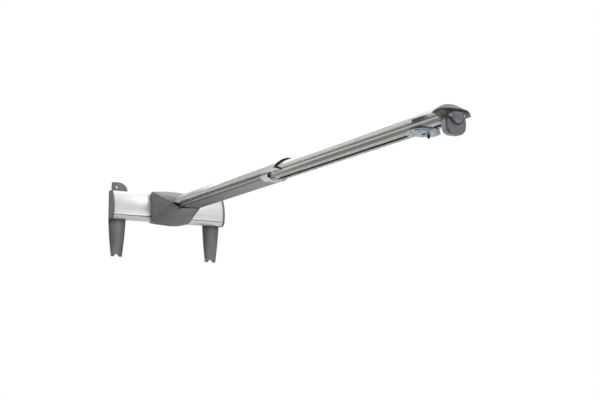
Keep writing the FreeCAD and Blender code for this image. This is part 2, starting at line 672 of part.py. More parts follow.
def base_foot_collar():
    """Plastic collar that ends the outer tube's lower half and carries the clamp plate."""
    body = new_body("base_foot_collar")
    side, top = "body_half + collar_proud", "-wing_drop - 2 * shell_gap"
    foot, floor = "-cover_foot - collar_proud", "cover_wall - cover_foot"
    outline = [
        (minus(side), top), (minus(side), "-cover_top"), ("-cover_flat", foot),
        ("cover_flat", foot), (side, "-cover_top"), (side, top),
        ("body_inner", top), ("body_inner", "-cover_top"), ("cover_flat - 0.3", floor),
        ("0.3 - cover_flat", floor), ("-body_inner", "-cover_top"), ("-body_inner", top),
    ]
    drawing = sketch(body, "XZ_Plane", "base_foot_end", [raised(outline)])
    pad(body, drawing, "collar_end - base_foot_end")


def base_end_trim():
    """Black wiper in the outer tube's mouth: it fills the arched gap above the inner tube."""
    body = new_body("base_end_trim")
    edge = "base_inner_tip + trim_gap"
    outer, inner = "base_inner_half - trim_gap - thread_gap", "ext_half + trim_gap"
    crescent = [
        (outer, edge, bow(outer, f"base_inner_crown - thread_gap - ({edge})"), 1),
        (minus(outer), edge),
        (minus(inner), edge, bow(inner, f"ext_crown + trim_gap + 0.2 - ({edge})"), -1),
        (inner, edge),
    ]
    pad(body, sketch(body, "XZ_Plane", "base_end - trim_length", [raised(crescent)]), "trim_length")


def base_clamp():
    """Zinc-plated plate under the collar's end, and the two screws that press it to the inner tube."""
    top = "arm_height - ext_foot - glide_gap"
    screws, holes = [], []
    for side in (-1, 1):
        foot = (f"{side} * clamp_screw_x", "-collar_end - clamp_length / 2",
                f"{top} - clamp_wall - clamp_head_depth")
        head = rod("clamp_head", "clamp_head_depth", foot)
        shank = rod("clamp_shank", "clamp_wall + clamp_head_depth", foot)
        screws.append(cut(fuse(head, shank), hexagon("clamp_drive", "clamp_head_depth / 2", foot)))
        holes.append(rod("clamp_shank + thread_gap", "4 * clamp_wall", foot))
    plate = box(("-clamp_half", "clamp_half"),
                ("-collar_end - clamp_length", "-collar_end - shell_gap"),
                (f"{top} - clamp_wall", top))
    plate = rounded(plate, "clamp_corner", runs_along(Z_AXIS))
    node("base_clamp_plate", cut(plate, *holes))
    node("base_clamp_screws", group(screws))


def glide_pads():
    """Plastic pads: two in the outer tube's mouth, two on the inner tube's hidden end."""
    heights = ("arm_height + glide_foot", "arm_height + base_crown")
    for name, owner, level in (
            ("base_glide_pads", "base", "base_end - glide_length - glide_inset"),
            ("extension_glide_pads", "ext", "ext_inner + glide_half")):
        pads = []
        for side in (-1, 1):
            x = (f"{side} * glide_x - glide_half", f"{side} * glide_x + glide_half")
            block = box(x, (f"-({level}) - glide_length", f"-({level})"), heights)
            pads.append(common(block, shell_between(level, owner)))
        node(name, group(pads))


def shell_between(level, owner):
    """The arched space between the two tubes' roofs, less the gap left on the side that slides."""
    outer_gap = "0" if owner == "base" else "glide_gap"
    inner_gap = "glide_gap" if owner == "base" else "0"
    outer_bow = bow("base_inner_half", "base_inner_crown - base_inner_tip")
    outer_tip = f"base_inner_tip - {outer_gap}"
    inner_tip = f"ext_tip + {inner_gap}"
    outer = [("base_inner_half", outer_tip, outer_bow, 1), ("-base_inner_half", outer_tip)]
    inner = [("ext_half", inner_tip, bow("ext_half", "ext_crown - ext_tip"), 1),
             ("-ext_half", inner_tip)]
    body = doc.addObject("PartDesign::Body", "space")
    pad(body, sketch(body, "XZ_Plane", level, [raised(outer)]), "glide_length")
    pocket(body, sketch(body, "XZ_Plane", level, [raised(inner)]), "2 * glide_length", reverse=True)
    return body


def extension_outline():
    """Section of the inner arm tube: a mushroom roof on a C-rail that is open below."""
    half = [
        ("slot_half", "-ext_foot"), ("ext_foot_half", "-ext_foot"),
        ("ext_flank", "-ext_flank_drop", "ext_flank_radius", 1),
        ("ext_neck", "-ext_neck_drop", "ext_root_radius", -1),
        ("ext_root", "-ext_root_drop"),
        ("ext_half", "ext_tip", bow("ext_half", "ext_crown - ext_tip"), 1),
    ]
    slot = [
        ("-slot_half", "lip - ext_foot"), ("-slot_inner", "lip - ext_foot"),
        ("-slot_inner", "-slot_roof"), ("slot_inner", "-slot_roof"),
        ("slot_inner", "lip - ext_foot"), ("slot_half", "lip - ext_foot"),
    ]
    return raised(mirrored(half) + slot)


def extension_profile():
    body = new_body("extension_profile")
    void = raised([
        ("ext_void_half", "ext_void_tip",
         bow("ext_void_half", "ext_void_crown - ext_void_tip"), 1),
        ("-ext_void_half", "ext_void_tip"), ("-ext_void_root", "-ext_void_drop"),
        ("-ext_void_root", "-ext_void_floor"), ("ext_void_root", "-ext_void_floor"),
        ("ext_void_root", "-ext_void_drop"),
    ])
    drawing = sketch(body, "XZ_Plane", "ext_inner", [extension_outline(), void])
    pad(body, drawing, "ext_end - ext_inner")


# ---------------------------------------------------------------- end cap of the arm

def end_cap_shell():
    """Moulded cap: a shell-like visor that continues the arm's roof, and a body under it."""
    body = new_body("end_cap_shell")
    seam = raised(visor_outline("visor_crown", "-cap_shoulder"))
    front = raised(visor_outline("visor_front_crown", "-0.5"))
    loft(body, "Additive", [sketch(body, "XZ_Plane", "ext_end", [seam]),
                            sketch(body, "XZ_Plane", "ext_end + visor_depth", [front])])
    hollow_half = "visor_half - visor_wall"
    drawings = []
    for level, crown in (("ext_end + cap_depth", "visor_hollow"),
                         ("ext_end + visor_depth + 1", "visor_front_crown - visor_wall")):
        inside = raised([
            (hollow_half, "-cap_foot"), (hollow_half, "0", bow(hollow_half, crown), 1),
            (minus(hollow_half), "0"), (minus(hollow_half), "-cap_foot"),
        ])
        drawings.append(sketch(body, "XZ_Plane", level, [inside]))
    loft(body, "Subtractive", drawings)
    shell = cap_outline("cap_half", "cap_foot", "cap_corner")
    pad(body, sketch(body, "XZ_Plane", "ext_end", [shell]), "cap_depth")
    seam_y, far = "-ext_end", "-ext_end - 2 * visor_depth"
    peak = [
        ("-2 * visor_half", seam_y), ("-visor_half", seam_y, bow("visor_half", "visor_peak"), 1),
        ("visor_half", seam_y), ("2 * visor_half", seam_y), ("2 * visor_half", far),
        ("-2 * visor_half", far),
    ]
    pocket(body, sketch(body, "XY_Plane", outlines=[peak]), "through", midplane=True)
    core = cap_outline("cap_half - core_inset", "cap_foot - core_inset", "cap_corner - core_inset")
    pad(body, sketch(body, "XZ_Plane", "ext_end", [core]), "cap_depth + cap_gap")
    holes = [((f"{side} * cap_screw_x", "-cap_screw_z"), "cap_shank + thread_gap")
             for side in (-1, 1)]
    pocket(body, sketch(body, "XZ_Plane", "ext_end + cap_bore_start", circles=holes), "visor_depth",
           reverse=True)


def visor_outline(crown, shoulder):
    """The visor's section: a crowned roof from tip to tip over a narrower underside."""
    return mirrored([("cap_half", shoulder), ("visor_half", "0", bow("visor_half", crown), 1)])


def cap_outline(half, foot, corner):
    """A bib: straight sides, round bottom corners and a flat top, in X and Z."""
    low = f"-({foot}) + {corner}"
    inner = f"{half} - ({corner})"
    bend = f"({corner}) * 1.0001"
    return [
        (half, "arm_height - 1"), (minus(half), "arm_height - 1"),
        (minus(half), low, bend, 1), (minus(inner), minus(foot)),
        (inner, minus(foot), bend, 1), (half, low),
    ]


def end_cap_front():
    """The bib plate, the round plug under the visor, and the two screws through the cap."""
    back = "ext_end + cap_depth + cap_gap"
    body = new_body("end_cap_bib")
    pad(body, sketch(body, "XZ_Plane", back, [cap_outline("bib_half", "bib_foot", "bib_corner")]),
        "bib_wall")
    wide = "bib_half + 1"
    roofed = [(minus(wide), "-plug_height"), (minus(wide), "bib_half"), (wide, "bib_half"),
              (wide, "-plug_height")]
    pocket(body, sketch(body, "XZ_Plane", back, [roofed]), "2 * bib_wall", reverse=True)
    clearing = [(("0", "-plug_height"), "plug_radius + plug_gap")]
    pocket(body, sketch(body, "XZ_Plane", back, circles=clearing), "2 * bib_wall", reverse=True)
    for side in (-1, 1):
        ear_room = [((f"{side} * cap_screw_x", "-cap_screw_z"), "ear_radius + ear_gap")]
        pocket(body, sketch(body, "XZ_Plane", back, circles=ear_room), "2 * bib_wall", reverse=True)
    plug = rod("plug_radius", "plug_wall", ("0", f"-({back})", "-plug_height"), -Y_AXIS)
    face = f"-({back}) - plug_wall + ear_drop"
    ears, cuts, screws = [], [], []
    for side in (-1, 1):
        x = f"{side} * cap_screw_x"
        ears.append(rod("ear_radius", "plug_wall - ear_drop", (x, f"-({back})", "-cap_screw_z"), -Y_AXIS))
        cuts.append(rod("cap_shank + thread_gap", "visor_depth", (x, "-ext_end", "-cap_screw_z"), -Y_AXIS))
        cuts.append(rod("cap_head + hole_gap", "plug_wall", (x, face, "-cap_screw_z"), -Y_AXIS))
        shank = rod("cap_shank", "cap_thread + plug_wall",
                    (x, f"{face} + cap_thread + plug_wall - 1", "-cap_screw_z"), -Y_AXIS)
        head = rod("cap_head", "cap_head_depth", (x, face, "-cap_screw_z"), -Y_AXIS)
        drive = hexagon("cap_drive", "cap_head_depth", (x, f"{face} - 1", "-cap_screw_z"), -Y_AXIS)
        screws.append(cut(fuse(shank, head), drive))
    cuts.append(box(("-visor_half", "visor_half"), (f"-({back}) - visor_depth", f"-({back}) + 1"),
                    ("-plug_top", "visor_half")))
    node("end_cap_plug", cut(fuse(plug, *ears), *cuts))
    node("end_cap_screws", group(screws))


# ---------------------------------------------------------------- carriage

def carriage_slide():
    """The nut bar in the C-rail, the round plate clamped below it, and the swivel's pivot bolt."""
    mid = "-carriage_y"
    lip_top = "arm_height - ext_foot + lip"
    length = (f"{mid} - slide_half", f"{mid} + slide_half")
    bar = box(("slide_gap - slot_inner", "slot_inner - slide_gap"), length,
              (f"{lip_top} + bolt_gap", f"{lip_top} + slide_bar_depth"))
    neck = box(("slide_neck_gap - slot_half", "slot_half - slide_neck_gap"), length,
               ("-disc_top", f"{lip_top} + 1"))
    foot = "-disc_top - disc_wall"
    middle = ("0", mid, foot)
    screw_feet = [("0", f"{mid} + {side} * disc_screw_y", foot) for side in (-1, 1)]
    lock_hole = rod("lock_radius + thread_gap", "bracket_top", ("0", f"{mid} - lock_y", foot))
    threads = [rod("bolt_radius + thread_gap", "bracket_top", spot) for spot in [middle, *screw_feet]]
    node("slide_nut_bar", cut(fuse(bar, neck), *threads, lock_hole))
    disc = rod("disc_radius", "disc_wall", middle)
    bores = [rod("bolt_radius + bolt_gap", "bracket_top", spot) for spot in [middle, *screw_feet]]
    sinks = [taper(("sink_radius", "bolt_radius + bolt_gap"), "disc_wall - 0.2", spot)
             for spot in screw_feet]
    node("slide_plate", cut(disc, *bores, *sinks, lock_hole))
    bolts = []
    for spot in screw_feet:
        head = taper(("sink_radius - bolt_gap", "bolt_radius"), "disc_wall - 0.3", spot)
        shank = rod("bolt_radius", "plate_bolt_length", spot)
        bolts.append(cut(fuse(head, shank), hexagon("lock_radius", "disc_wall / 2", spot)))
    node("slide_plate_screws", group(bolts))
    under = "-bracket_top - bracket_wall - thread_gap"
    head = hexagon("pivot_head", "pivot_head_depth", ("0", mid, f"{under} - pivot_head_depth"))
    shoulder = rod("pivot_radius", "bracket_top + bracket_wall - disc_top - disc_wall",
                   ("0", mid, under))
    thread = rod("bolt_radius", "pivot_thread", ("0", mid, under))
    node("swivel_pivot_bolt", fuse(head, shoulder, thread))


def rail_end_stop():
    """A bent tab clipped round one lip of the C-rail near its open end: it stops the carriage."""
    under = "arm_height - ext_foot - thread_gap"
    y = ("-stop_y - stop_half", "-stop_y + stop_half")
    outer = "-ext_flank - stop_wall - stop_gap"
    upright = box((outer, f"{outer} + stop_wall"), y, (f"{under} - lip", f"{under} + stop_rise"))
    foot = box((outer, "-slot_half - lip"), y, (f"{under} - lip", under))
    node("rail_end_stop", fuse(upright, foot))


def swivel():
    """The slotted plate that turns under the slide plate, and the bracket riveted below it."""
    lock_slot = ("lock_y - lock_radius - lock_gap", "lock_y + lock_radius + lock_gap", "lock_sweep")
    outer_slot = ("outer_slot_low", "outer_slot_high", "outer_sweep")
    body = new_body("swivel_plate")
    pad(body, sketch(body, "XY_Plane", "-bracket_top",
                     circles=[(("0", "-carriage_y"), "disc_radius - swivel_inset")]),
        "bracket_top - disc_top - disc_wall - swivel_gap")
    slots = [arc_slot(side, *slot) for side in (-1, 1) for slot in (lock_slot, outer_slot)]
    cut_from_below(body, outlines=slots)
    cut_from_below(body, circles=[(("0", "-carriage_y"), "pivot_radius + thread_gap")])
    swivel_bracket(lock_slot)


def cut_from_below(body, **shapes):
    pocket(body, sketch(body, "XY_Plane", "-2 * bracket_top", **shapes), "2 * bracket_top",
           reverse=True)


def rivet_places():
    return [(f"{i} * rivet_x", f"-carriage_y + {j} * rivet_y") for i in (-1, 1) for j in (-1, 1)]


def swivel_bracket(lock_slot):
    """A web under the swivel plate with one side bent down for the payload, and its rivets."""
    mid = "-carriage_y"
    body = new_body("swivel_bracket")
    side = "-flange_face - flange_wall"
    web = [
        ("bracket_right", f"{mid} - bracket_nose"), ("bracket_right", f"{mid} + bracket_nose"),
        ("bracket_nose", f"{mid} + bracket_half"), ("-bracket_left", f"{mid} + bracket_half"),
        (side, f"{mid} + flange_half"), (side, f"{mid} - flange_half"),
        ("-bracket_left", f"{mid} - bracket_half"), ("bracket_nose", f"{mid} - bracket_half"),
    ]
    pad(body, sketch(body, "XY_Plane", "-bracket_top - bracket_wall", [web]),
        "bracket_wall - thread_gap")
    top, corner = "-disc_top - 2", "flange_chamfer - flange_foot"
    flange = [
        (f"{mid} - flange_half", top), (f"{mid} - flange_half", corner),
        (f"{mid} - flange_half + flange_chamfer", "-flange_foot"),
        (f"{mid} + flange_half - flange_chamfer", "-flange_foot"),
        (f"{mid} + flange_half", corner), (f"{mid} + flange_half", top),
    ]
    pad(body, sketch(body, "YZ_Plane", side, [flange]), "flange_wall")
    cut_from_below(body, outlines=[arc_slot(-1, *lock_slot)])
    holes = [(("0", mid), "pivot_radius + thread_gap")]
    holes += [(spot, "rivet_radius") for spot in rivet_places()]
    cut_from_below(body, circles=holes)
    sides = [((f"{mid} + {step} * payload_y", "-payload_z"), "payload_hole") for step in (-1, 1)]
    sides.append(((mid, "-disc_top - pin_drop"), "pin_hole"))
    pocket(body, sketch(body, "YZ_Plane", f"2 * ({side})", circles=sides), "flange_face + 5",
           reverse=True)
    rivets = []
    for spot in rivet_places():
        foot = "-bracket_top - bracket_wall"
        shank = rod("rivet_radius", "bracket_wall", (*spot, foot))
        rivets.append(fuse(shank, rod("rivet_head", "1", (*spot, f"{foot} - 1"))))
    node("swivel_rivets", group(rivets))


def arc_slot(side, inner, outer, half_angle):
    """A curved slot about the swivel's centre; side -1 faces away from the wall, 1 the wall."""
    def corner(x_side, radius):
        return (f"{x_side} * ({radius}) * sin({half_angle})",
                f"-carriage_y + {side} * ({radius}) * cos({half_angle})")
    return [
        (*corner(-1, outer), outer, -side), corner(1, outer),
        (*corner(1, inner), inner, side), corner(-1, inner),
    ]


def lock_screw():
    """Black screw through the swivel's curved slot: it locks the swivel to the slide plate."""
    spot = ("0", "-carriage_y - lock_y")
    shank = rod("lock_radius", "lock_foot - lock_top", (*spot, "-lock_foot"))
    head = rod("lock_radius + swivel_inset", "lip", (*spot, "-lock_foot"))
    collar = rod("pivot_radius", "lip", (*spot, "-bracket_top - bracket_wall - lip - bolt_gap"))
    node("lock_screw", fuse(shank, head, collar))


# ---------------------------------------------------------------- build and write

def main():
    cross_rail()
    rail_end_cap("rail_end_cap_left", -1)
    rail_end_cap("rail_end_cap_right", 1)
    rail_screws()
    wall_bracket("wall_bracket_left", -1)
    wall_bracket("wall_bracket_right", 1)
    hub_casting("hub_upper_casting", True)
    hub_casting("hub_lower_casting", False)
    hub_rail_liner()
    hub_screws()
    arm_root()
    arm_root_gasket()
    arm_base_profile()
    base_under_cover()
    base_foot_collar()
    base_end_trim()
    base_clamp()
    glide_pads()
    extension_profile()
    end_cap_shell()
    end_cap_front()
    rail_end_stop()
    carriage_slide()
    swivel()
    lock_screw()
    write_parts()


def write_parts():
    """Checks every object, then writes each sub-part to its own file."""
    doc.recompute()
    failed = [item.Label for item in doc.Objects if {"Invalid", "Error"} & set(item.State)]
    if failed:
        raise SystemExit(f"these objects failed: {failed}")
    for item in nodes:
        if item.Shape.isNull() or not item.Shape.isValid() or not item.Shape.Solids:
            raise SystemExit(f"{item.Label} has no valid solid")
    os.makedirs("parts", exist_ok=True)
    for item in nodes:
        item.Shape.exportStep(f"parts/{item.Label}.step")


main()
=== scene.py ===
"""Looks of the telescopic wall arm: finishes on the CAD parts, and finer pieces built over them."""

import json
import math

import bpy
import bmesh
from mathutils import Matrix, Vector


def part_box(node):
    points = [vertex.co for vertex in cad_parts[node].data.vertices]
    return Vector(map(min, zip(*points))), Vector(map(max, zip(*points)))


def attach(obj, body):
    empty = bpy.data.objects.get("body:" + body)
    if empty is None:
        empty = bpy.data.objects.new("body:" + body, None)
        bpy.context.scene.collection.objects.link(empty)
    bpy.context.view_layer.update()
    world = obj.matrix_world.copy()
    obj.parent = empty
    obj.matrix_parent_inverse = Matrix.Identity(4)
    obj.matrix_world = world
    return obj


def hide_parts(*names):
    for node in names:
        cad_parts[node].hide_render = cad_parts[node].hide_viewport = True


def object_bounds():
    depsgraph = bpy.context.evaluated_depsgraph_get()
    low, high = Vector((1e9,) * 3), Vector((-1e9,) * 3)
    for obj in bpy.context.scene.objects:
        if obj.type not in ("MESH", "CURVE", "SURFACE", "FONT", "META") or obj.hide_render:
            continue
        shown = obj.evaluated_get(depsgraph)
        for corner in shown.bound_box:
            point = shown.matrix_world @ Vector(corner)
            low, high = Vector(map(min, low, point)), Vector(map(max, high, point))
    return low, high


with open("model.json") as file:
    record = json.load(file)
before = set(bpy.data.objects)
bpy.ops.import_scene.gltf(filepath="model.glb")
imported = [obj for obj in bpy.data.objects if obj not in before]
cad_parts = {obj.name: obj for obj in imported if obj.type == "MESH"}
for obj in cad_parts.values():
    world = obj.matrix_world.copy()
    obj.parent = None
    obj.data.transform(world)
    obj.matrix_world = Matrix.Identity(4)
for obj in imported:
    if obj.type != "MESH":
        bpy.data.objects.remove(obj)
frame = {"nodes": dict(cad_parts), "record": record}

cad_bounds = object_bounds()
MM = 0.001
scene = bpy.context.scene


# ---------------------------------------------------------------- materials

CLOUD_SPAN = (0.3, 0.7)
# Ambient occlusion values over which the painted crease shade runs from dark to none.
PAINTED_SHADE_SPAN = (0.42, 0.96)
EDGE_SPAN = (0.80, 0.97)
EDGE_STRENGTH = 0.6
ROUGHNESS_SPREAD = 0.07
LOWEST_ROUGHNESS = 0.03
WEAR_SCALE = 60.0
COAT_ROUGHNESS = 0.25
EDGE_GAIN = 3


class Nodes:
    """Short helpers to wire one node material."""

    def __init__(self, name):
        self.material = bpy.data.materials.new(name)
        self.material.use_nodes = True
        self.tree = self.material.node_tree
        self.tree.nodes.clear()
        self.output = self.tree.nodes.new("ShaderNodeOutputMaterial")
        self.shader = self.tree.nodes.new("ShaderNodeBsdfPrincipled")
        self.tree.links.new(self.shader.outputs[0], self.output.inputs["Surface"])
        self.coords = self.tree.nodes.new("ShaderNodeTexCoord").outputs["Object"]

    def add(self, kind, **inputs):
        node = self.tree.nodes.new(kind)
        for key, item in inputs.items():
            self.feed(node.inputs[key], item)
        return node

    def feed(self, socket, item):
        if isinstance(item, bpy.types.NodeSocket):
            self.tree.links.new(item, socket)
        else:
            socket.default_value = item

    def stretched(self, scale):
        mapping = self.add("ShaderNodeMapping", Vector=self.coords)
        mapping.inputs["Scale"].default_value = scale
        return mapping.outputs[0]

    def noise(self, scale, detail=3.0, stretch=(1, 1, 1), roughness=0.55):
        node = self.add("ShaderNodeTexNoise", Vector=self.stretched(stretch))
        node.inputs["Scale"].default_value = scale
        node.inputs["Detail"].default_value = detail
        node.inputs["Roughness"].default_value = roughness
        return node.outputs["Fac"]

    def ramp(self, value, low, high, at=(0.35, 0.65)):
        """Maps value onto low..high, as numbers or as colours."""
        node = self.tree.nodes.new("ShaderNodeValToRGB")
        self.feed(node.inputs["Fac"], value)
        for element, place, colour in zip(node.color_ramp.elements, at, (low, high)):
            element.position = place
            element.color = colour if isinstance(colour, tuple) else (colour, colour, colour, 1)
        return node.outputs["Color"]

    def bump(self, height, distance, normal):
        """The given normal, roughened by a height pattern."""
        node = self.add("ShaderNodeBump", Height=height, Distance=distance, Strength=1.0,
                        Normal=normal)
        return node.outputs["Normal"]

    def mix(self, share, first, second, blend="MIX"):
        node = self.tree.nodes.new("ShaderNodeMix")
        node.data_type = "RGBA"
        node.blend_type = blend
        self.feed(node.inputs[0], share)
        self.feed(node.inputs[6], first)
        self.feed(node.inputs[7], second)
        return node.outputs[2]

    def multiply(self, first, second):
        return self.mix(1.0, first, second, "MULTIPLY")

    def along(self, start, low, end, high):
        """A tone that runs from low at y = start to high at y = end."""
        parts = self.add("ShaderNodeSeparateXYZ", Vector=self.coords)
        node = self.tree.nodes.new("ShaderNodeMapRange")
        for socket, item in zip(node.inputs[:5], (parts.outputs["Y"], start, end, low, high)):
            self.feed(socket, item)
        return node.outputs[0]

    def above(self, level):
        """A mask that is 1 above z = level."""
        parts = self.add("ShaderNodeSeparateXYZ", Vector=self.coords)
        node = self.tree.nodes.new("ShaderNodeMath")
        node.operation = "GREATER_THAN"
        self.feed(node.inputs[0], parts.outputs["Z"])
        node.inputs[1].default_value = level
        return node.outputs[0]

    def crease(self, reach, dark):
        """Painted shade: ambient occlusion darkens the tone in creases and corners, where shade
        falls.
        """
        node = self.add("ShaderNodeAmbientOcclusion", Distance=reach)
        node.samples = 6
        return self.ramp(node.outputs["AO"], grey(dark), grey(1.0), PAINTED_SHADE_SPAN)

    def edge_mask(self, smooth):
        """A mask for sharp edges, where the rounded normal leaves the true one; 0 elsewhere."""
        true = self.tree.nodes.new("ShaderNodeNewGeometry").outputs["Normal"]
        node = self.add("ShaderNodeVectorMath")
        node.operation = "DOT_PRODUCT"
        self.feed(node.inputs[0], smooth)
        self.feed(node.inputs[1], true)
        return self.ramp(node.outputs["Value"], grey(EDGE_STRENGTH), grey(0.0), EDGE_SPAN)

    def soft_edge(self, radius):
        """A normal that rounds sharp edges by radius."""
        node = self.add("ShaderNodeBevel", Radius=radius)
        node.samples = 4
        return node.outputs["Normal"]


def grey(tone):
    return (tone, tone, tone, 1)


def shade(colour, factor):
    return tuple(min(1.0, part * factor) for part in colour[:3]) + (1,)


def finish(name, colour, metallic, roughness, grain, **looks):
    """A procedural finish: cloudy colour, painted shade in creases, edge tones, fine grain and
    rounded edges.

    grain is (scale, height); looks holds the options: cloud, cloud_stretch and spread of the
    colour, streaks, lower (another tint below a level), fade (painted shade
    that runs along the arm from the hub), crease and crease_dark (reach and
    darkness of the painted shade in creases), edge radius, worn (above 0 for
    bright worn edges, below 0 for dark edges of painted shade), grain_stretch and coat.
    """
    kit = Nodes(name)
    spread = looks.get("spread", 0.06)
    cloud = kit.noise(looks.get("cloud", 18.0), 4.0, looks.get("cloud_stretch", (1, 1, 1)))
    base = kit.ramp(cloud, shade(colour, 1 - spread), shade(colour, 1 + spread), CLOUD_SPAN)
    for scale, stretch, contrast in looks.get("streaks", ()):
        streak = kit.ramp(kit.noise(scale, 2.0, stretch), grey(1 - contrast), grey(1.0))
        base = kit.multiply(base, streak)
    if "lower" in looks:
        level, tint = looks["lower"]
        base = kit.mix(kit.above(level), tint + (1,), base)
    # Painted shade: the colour runs from dark at the hub to lighter further along the arm.
    if "fade" in looks:
        base = kit.multiply(base, kit.along(*looks["fade"]))
    # Painted shade: ambient occlusion darkens the colour in creases and corners.
    base = kit.multiply(base, kit.crease(looks.get("crease", 4 * MM), looks.get("crease_dark", 0.5)))
    smooth = kit.soft_edge(looks.get("edge", 0.35 * MM))
    # Edges get lighter where this value is above 0, as wear, and darker where it is below 0, as
    # painted shade lines along the edges.
    worn = looks.get("worn", 0.25)
    base = kit.mix(kit.edge_mask(smooth), base, shade(colour, 1 + EDGE_GAIN * worn))
    kit.feed(kit.shader.inputs["Base Color"], base)
    low = max(roughness - ROUGHNESS_SPREAD, LOWEST_ROUGHNESS)
    high = min(roughness + ROUGHNESS_SPREAD, 1.0)
    rough = kit.ramp(kit.noise(WEAR_SCALE, 5.0), low, high, CLOUD_SPAN)
    kit.feed(kit.shader.inputs["Roughness"], rough)
    kit.feed(kit.shader.inputs["Metallic"], metallic)
    fine = kit.noise(grain[0], 4.0, looks.get("grain_stretch", (1, 1, 1)), 0.65)
    kit.feed(kit.shader.inputs["Normal"], kit.bump(fine, grain[1], smooth))
    if "coat" in looks:
        kit.feed(kit.shader.inputs["Coat Weight"], looks["coat"])
        kit.feed(kit.shader.inputs["Coat Roughness"], COAT_ROUGHNESS)
    return kit.material


# Streaks are (scale, stretch, contrast). Die lines run along the rail (X) and the arm (Y).
DIE_LINES_X = ((260.0, (0.004, 1, 1), 0.05), (90.0, (0.004, 1, 1), 0.05))
DIE_LINES_Y = ((420.0, (1, 0.002, 1), 0.20), (130.0, (1, 0.002, 1), 0.14))
CAST_SPECKS = ((700.0, (1, 1, 1), 0.18),)
# Every finish gets painted shade in its creases; the rail, the arm and the legs get the most.
FINISHES = {
    "anodised_rail": finish("anodised_rail", (0.84, 0.85, 0.86), 0.35, 0.34, (900.0, 0.02 * MM),
                            grain_stretch=(0.02, 1, 1), cloud=5.0, spread=0.02, streaks=DIE_LINES_X,
                            crease=14 * MM, crease_dark=0.35),
    # The arm: dark edge lines of painted shade, deep painted crease shade and painted shade towards
    # the hub.
    "anodised_arm": finish("anodised_arm", (0.84, 0.835, 0.80), 0.80, 0.22, (900.0, 0.02 * MM),
                           grain_stretch=(1, 0.02, 1), cloud=5.0, spread=0.02, streaks=DIE_LINES_Y,
                           crease=9 * MM, crease_dark=0.05, worn=-0.24, edge=0.8 * MM,
                           fade=(-0.18, 0.95, -0.45, 1.0)),
    "mill_aluminium": finish("mill_aluminium", (0.62, 0.62, 0.62), 0.9, 0.38, (500.0, 0.04 * MM),
                             streaks=DIE_LINES_Y),
    "cast_grey": finish("cast_grey", (0.195, 0.20, 0.19), 0.1, 0.50, (1400.0, 0.10 * MM),
                        cloud=34.0, spread=0.16, edge=0.7 * MM, crease=8 * MM,
                        crease_dark=0.25, worn=0.12, streaks=CAST_SPECKS),
    "cast_leg": finish("cast_leg", (0.168, 0.173, 0.165), 0.15, 0.42, (1400.0, 0.10 * MM),
                       cloud=70.0, cloud_stretch=(1, 1, 0.3), spread=0.30, edge=0.7 * MM,
                       crease=16 * MM, crease_dark=0.05, worn=0.05, streaks=CAST_SPECKS),
    # The cover: painted shade, dark at the hub and lighter further out.
    "grey_plastic": finish("grey_plastic", (0.30, 0.30, 0.30), 0.0, 0.46, (1500.0, 0.03 * MM),
                           streaks=((160.0, (1, 0.004, 1), 0.10),),
                           fade=(-0.22, 0.30, -0.62, 1.35)),
    "dark_plastic": finish("dark_plastic", (0.13, 0.13, 0.13), 0.0, 0.42, (1500.0, 0.03 * MM)),
    "cap_plastic": finish("cap_plastic", (0.150, 0.140, 0.160), 0.0, 0.30, (1500.0, 0.04 * MM),
                          coat=0.3, edge=0.5 * MM, spread=0.09, worn=0.2),
    "visor_plastic": finish("visor_plastic", (0.095, 0.092, 0.076), 0.0, 0.22, (1500.0, 0.03 * MM),
                            coat=0.4, edge=0.5 * MM, spread=0.10, worn=0.2,
                            lower=(-72 * MM, (0.36, 0.34, 0.36))),
    # Black for the painted shadow strip under the visor's front edge.
    "black_plastic": finish("black_plastic", (0.018, 0.018, 0.018), 0.0, 0.5, (1200.0, 0.03 * MM)),
    "black_rubber": finish("black_rubber", (0.012, 0.012, 0.012), 0.0, 0.72, (1200.0, 0.04 * MM)),
    "black_steel": finish("black_steel", (0.02, 0.02, 0.022), 0.5, 0.38, (1500.0, 0.02 * MM)),
    "bright_screw": finish("bright_screw", (0.88, 0.90, 0.92), 0.25, 0.25, (900.0, 0.02 * MM)),
    "zinc_plate": finish("zinc_plate", (0.62, 0.72, 0.76), 0.75, 0.32, (700.0, 0.05 * MM),
                         cloud=190.0, spread=0.20, grain_stretch=(0.2, 1, 1),
                         streaks=((320.0, (1, 1, 1), 0.25),)),
}

# CAD parts whose finish isn't the plain one of their slot, and edge radii in millimetres.
# The foot collar takes the pale screw finish: partly a lighter end piece, partly a painted highlight
# on its angled face.
NODE_FINISHES = {"end_cap_shell": "visor_plastic", "base_foot_collar": "bright_screw"}
EDGE_RADII = {"hub_upper_casting": 0.9, "hub_lower_casting": 0.9, "rail_end_cap_left": 0.9,
              "rail_end_cap_right": 0.9, "end_cap_shell": 0.6, "cross_rail": 0.4}
PLAIN_EDGE_RADIUS = 0.3
BEVEL_ANGLE = math.radians(38)
SHARP_ANGLE = math.radians(35)
WELD_DISTANCE = 0.002 * MM


def dress_cad_nodes():
    """Finish, merged corners and small rounded edges for every CAD part."""
    for row in frame["record"]["subparts"]:
        item = frame["nodes"][row["node"]]
        item.data.materials.clear()
        item.data.materials.append(FINISHES[NODE_FINISHES.get(row["node"], row["material_slot"])])
        round_edges(item, EDGE_RADII.get(row["node"], PLAIN_EDGE_RADIUS) * MM)


def round_edges(item, radius):
    """Merges doubled corners and rounds the sharp edges."""
    weld = item.modifiers.new("weld", "WELD")
    weld.merge_threshold = WELD_DISTANCE
    bevel = item.modifiers.new("bevel", "BEVEL")
    bevel.width = radius
    bevel.segments = 2
    bevel.limit_method = "ANGLE"
    bevel.angle_limit = BEVEL_ANGLE
    bevel.harden_normals = True


# ---------------------------------------------------------------- mesh helpers

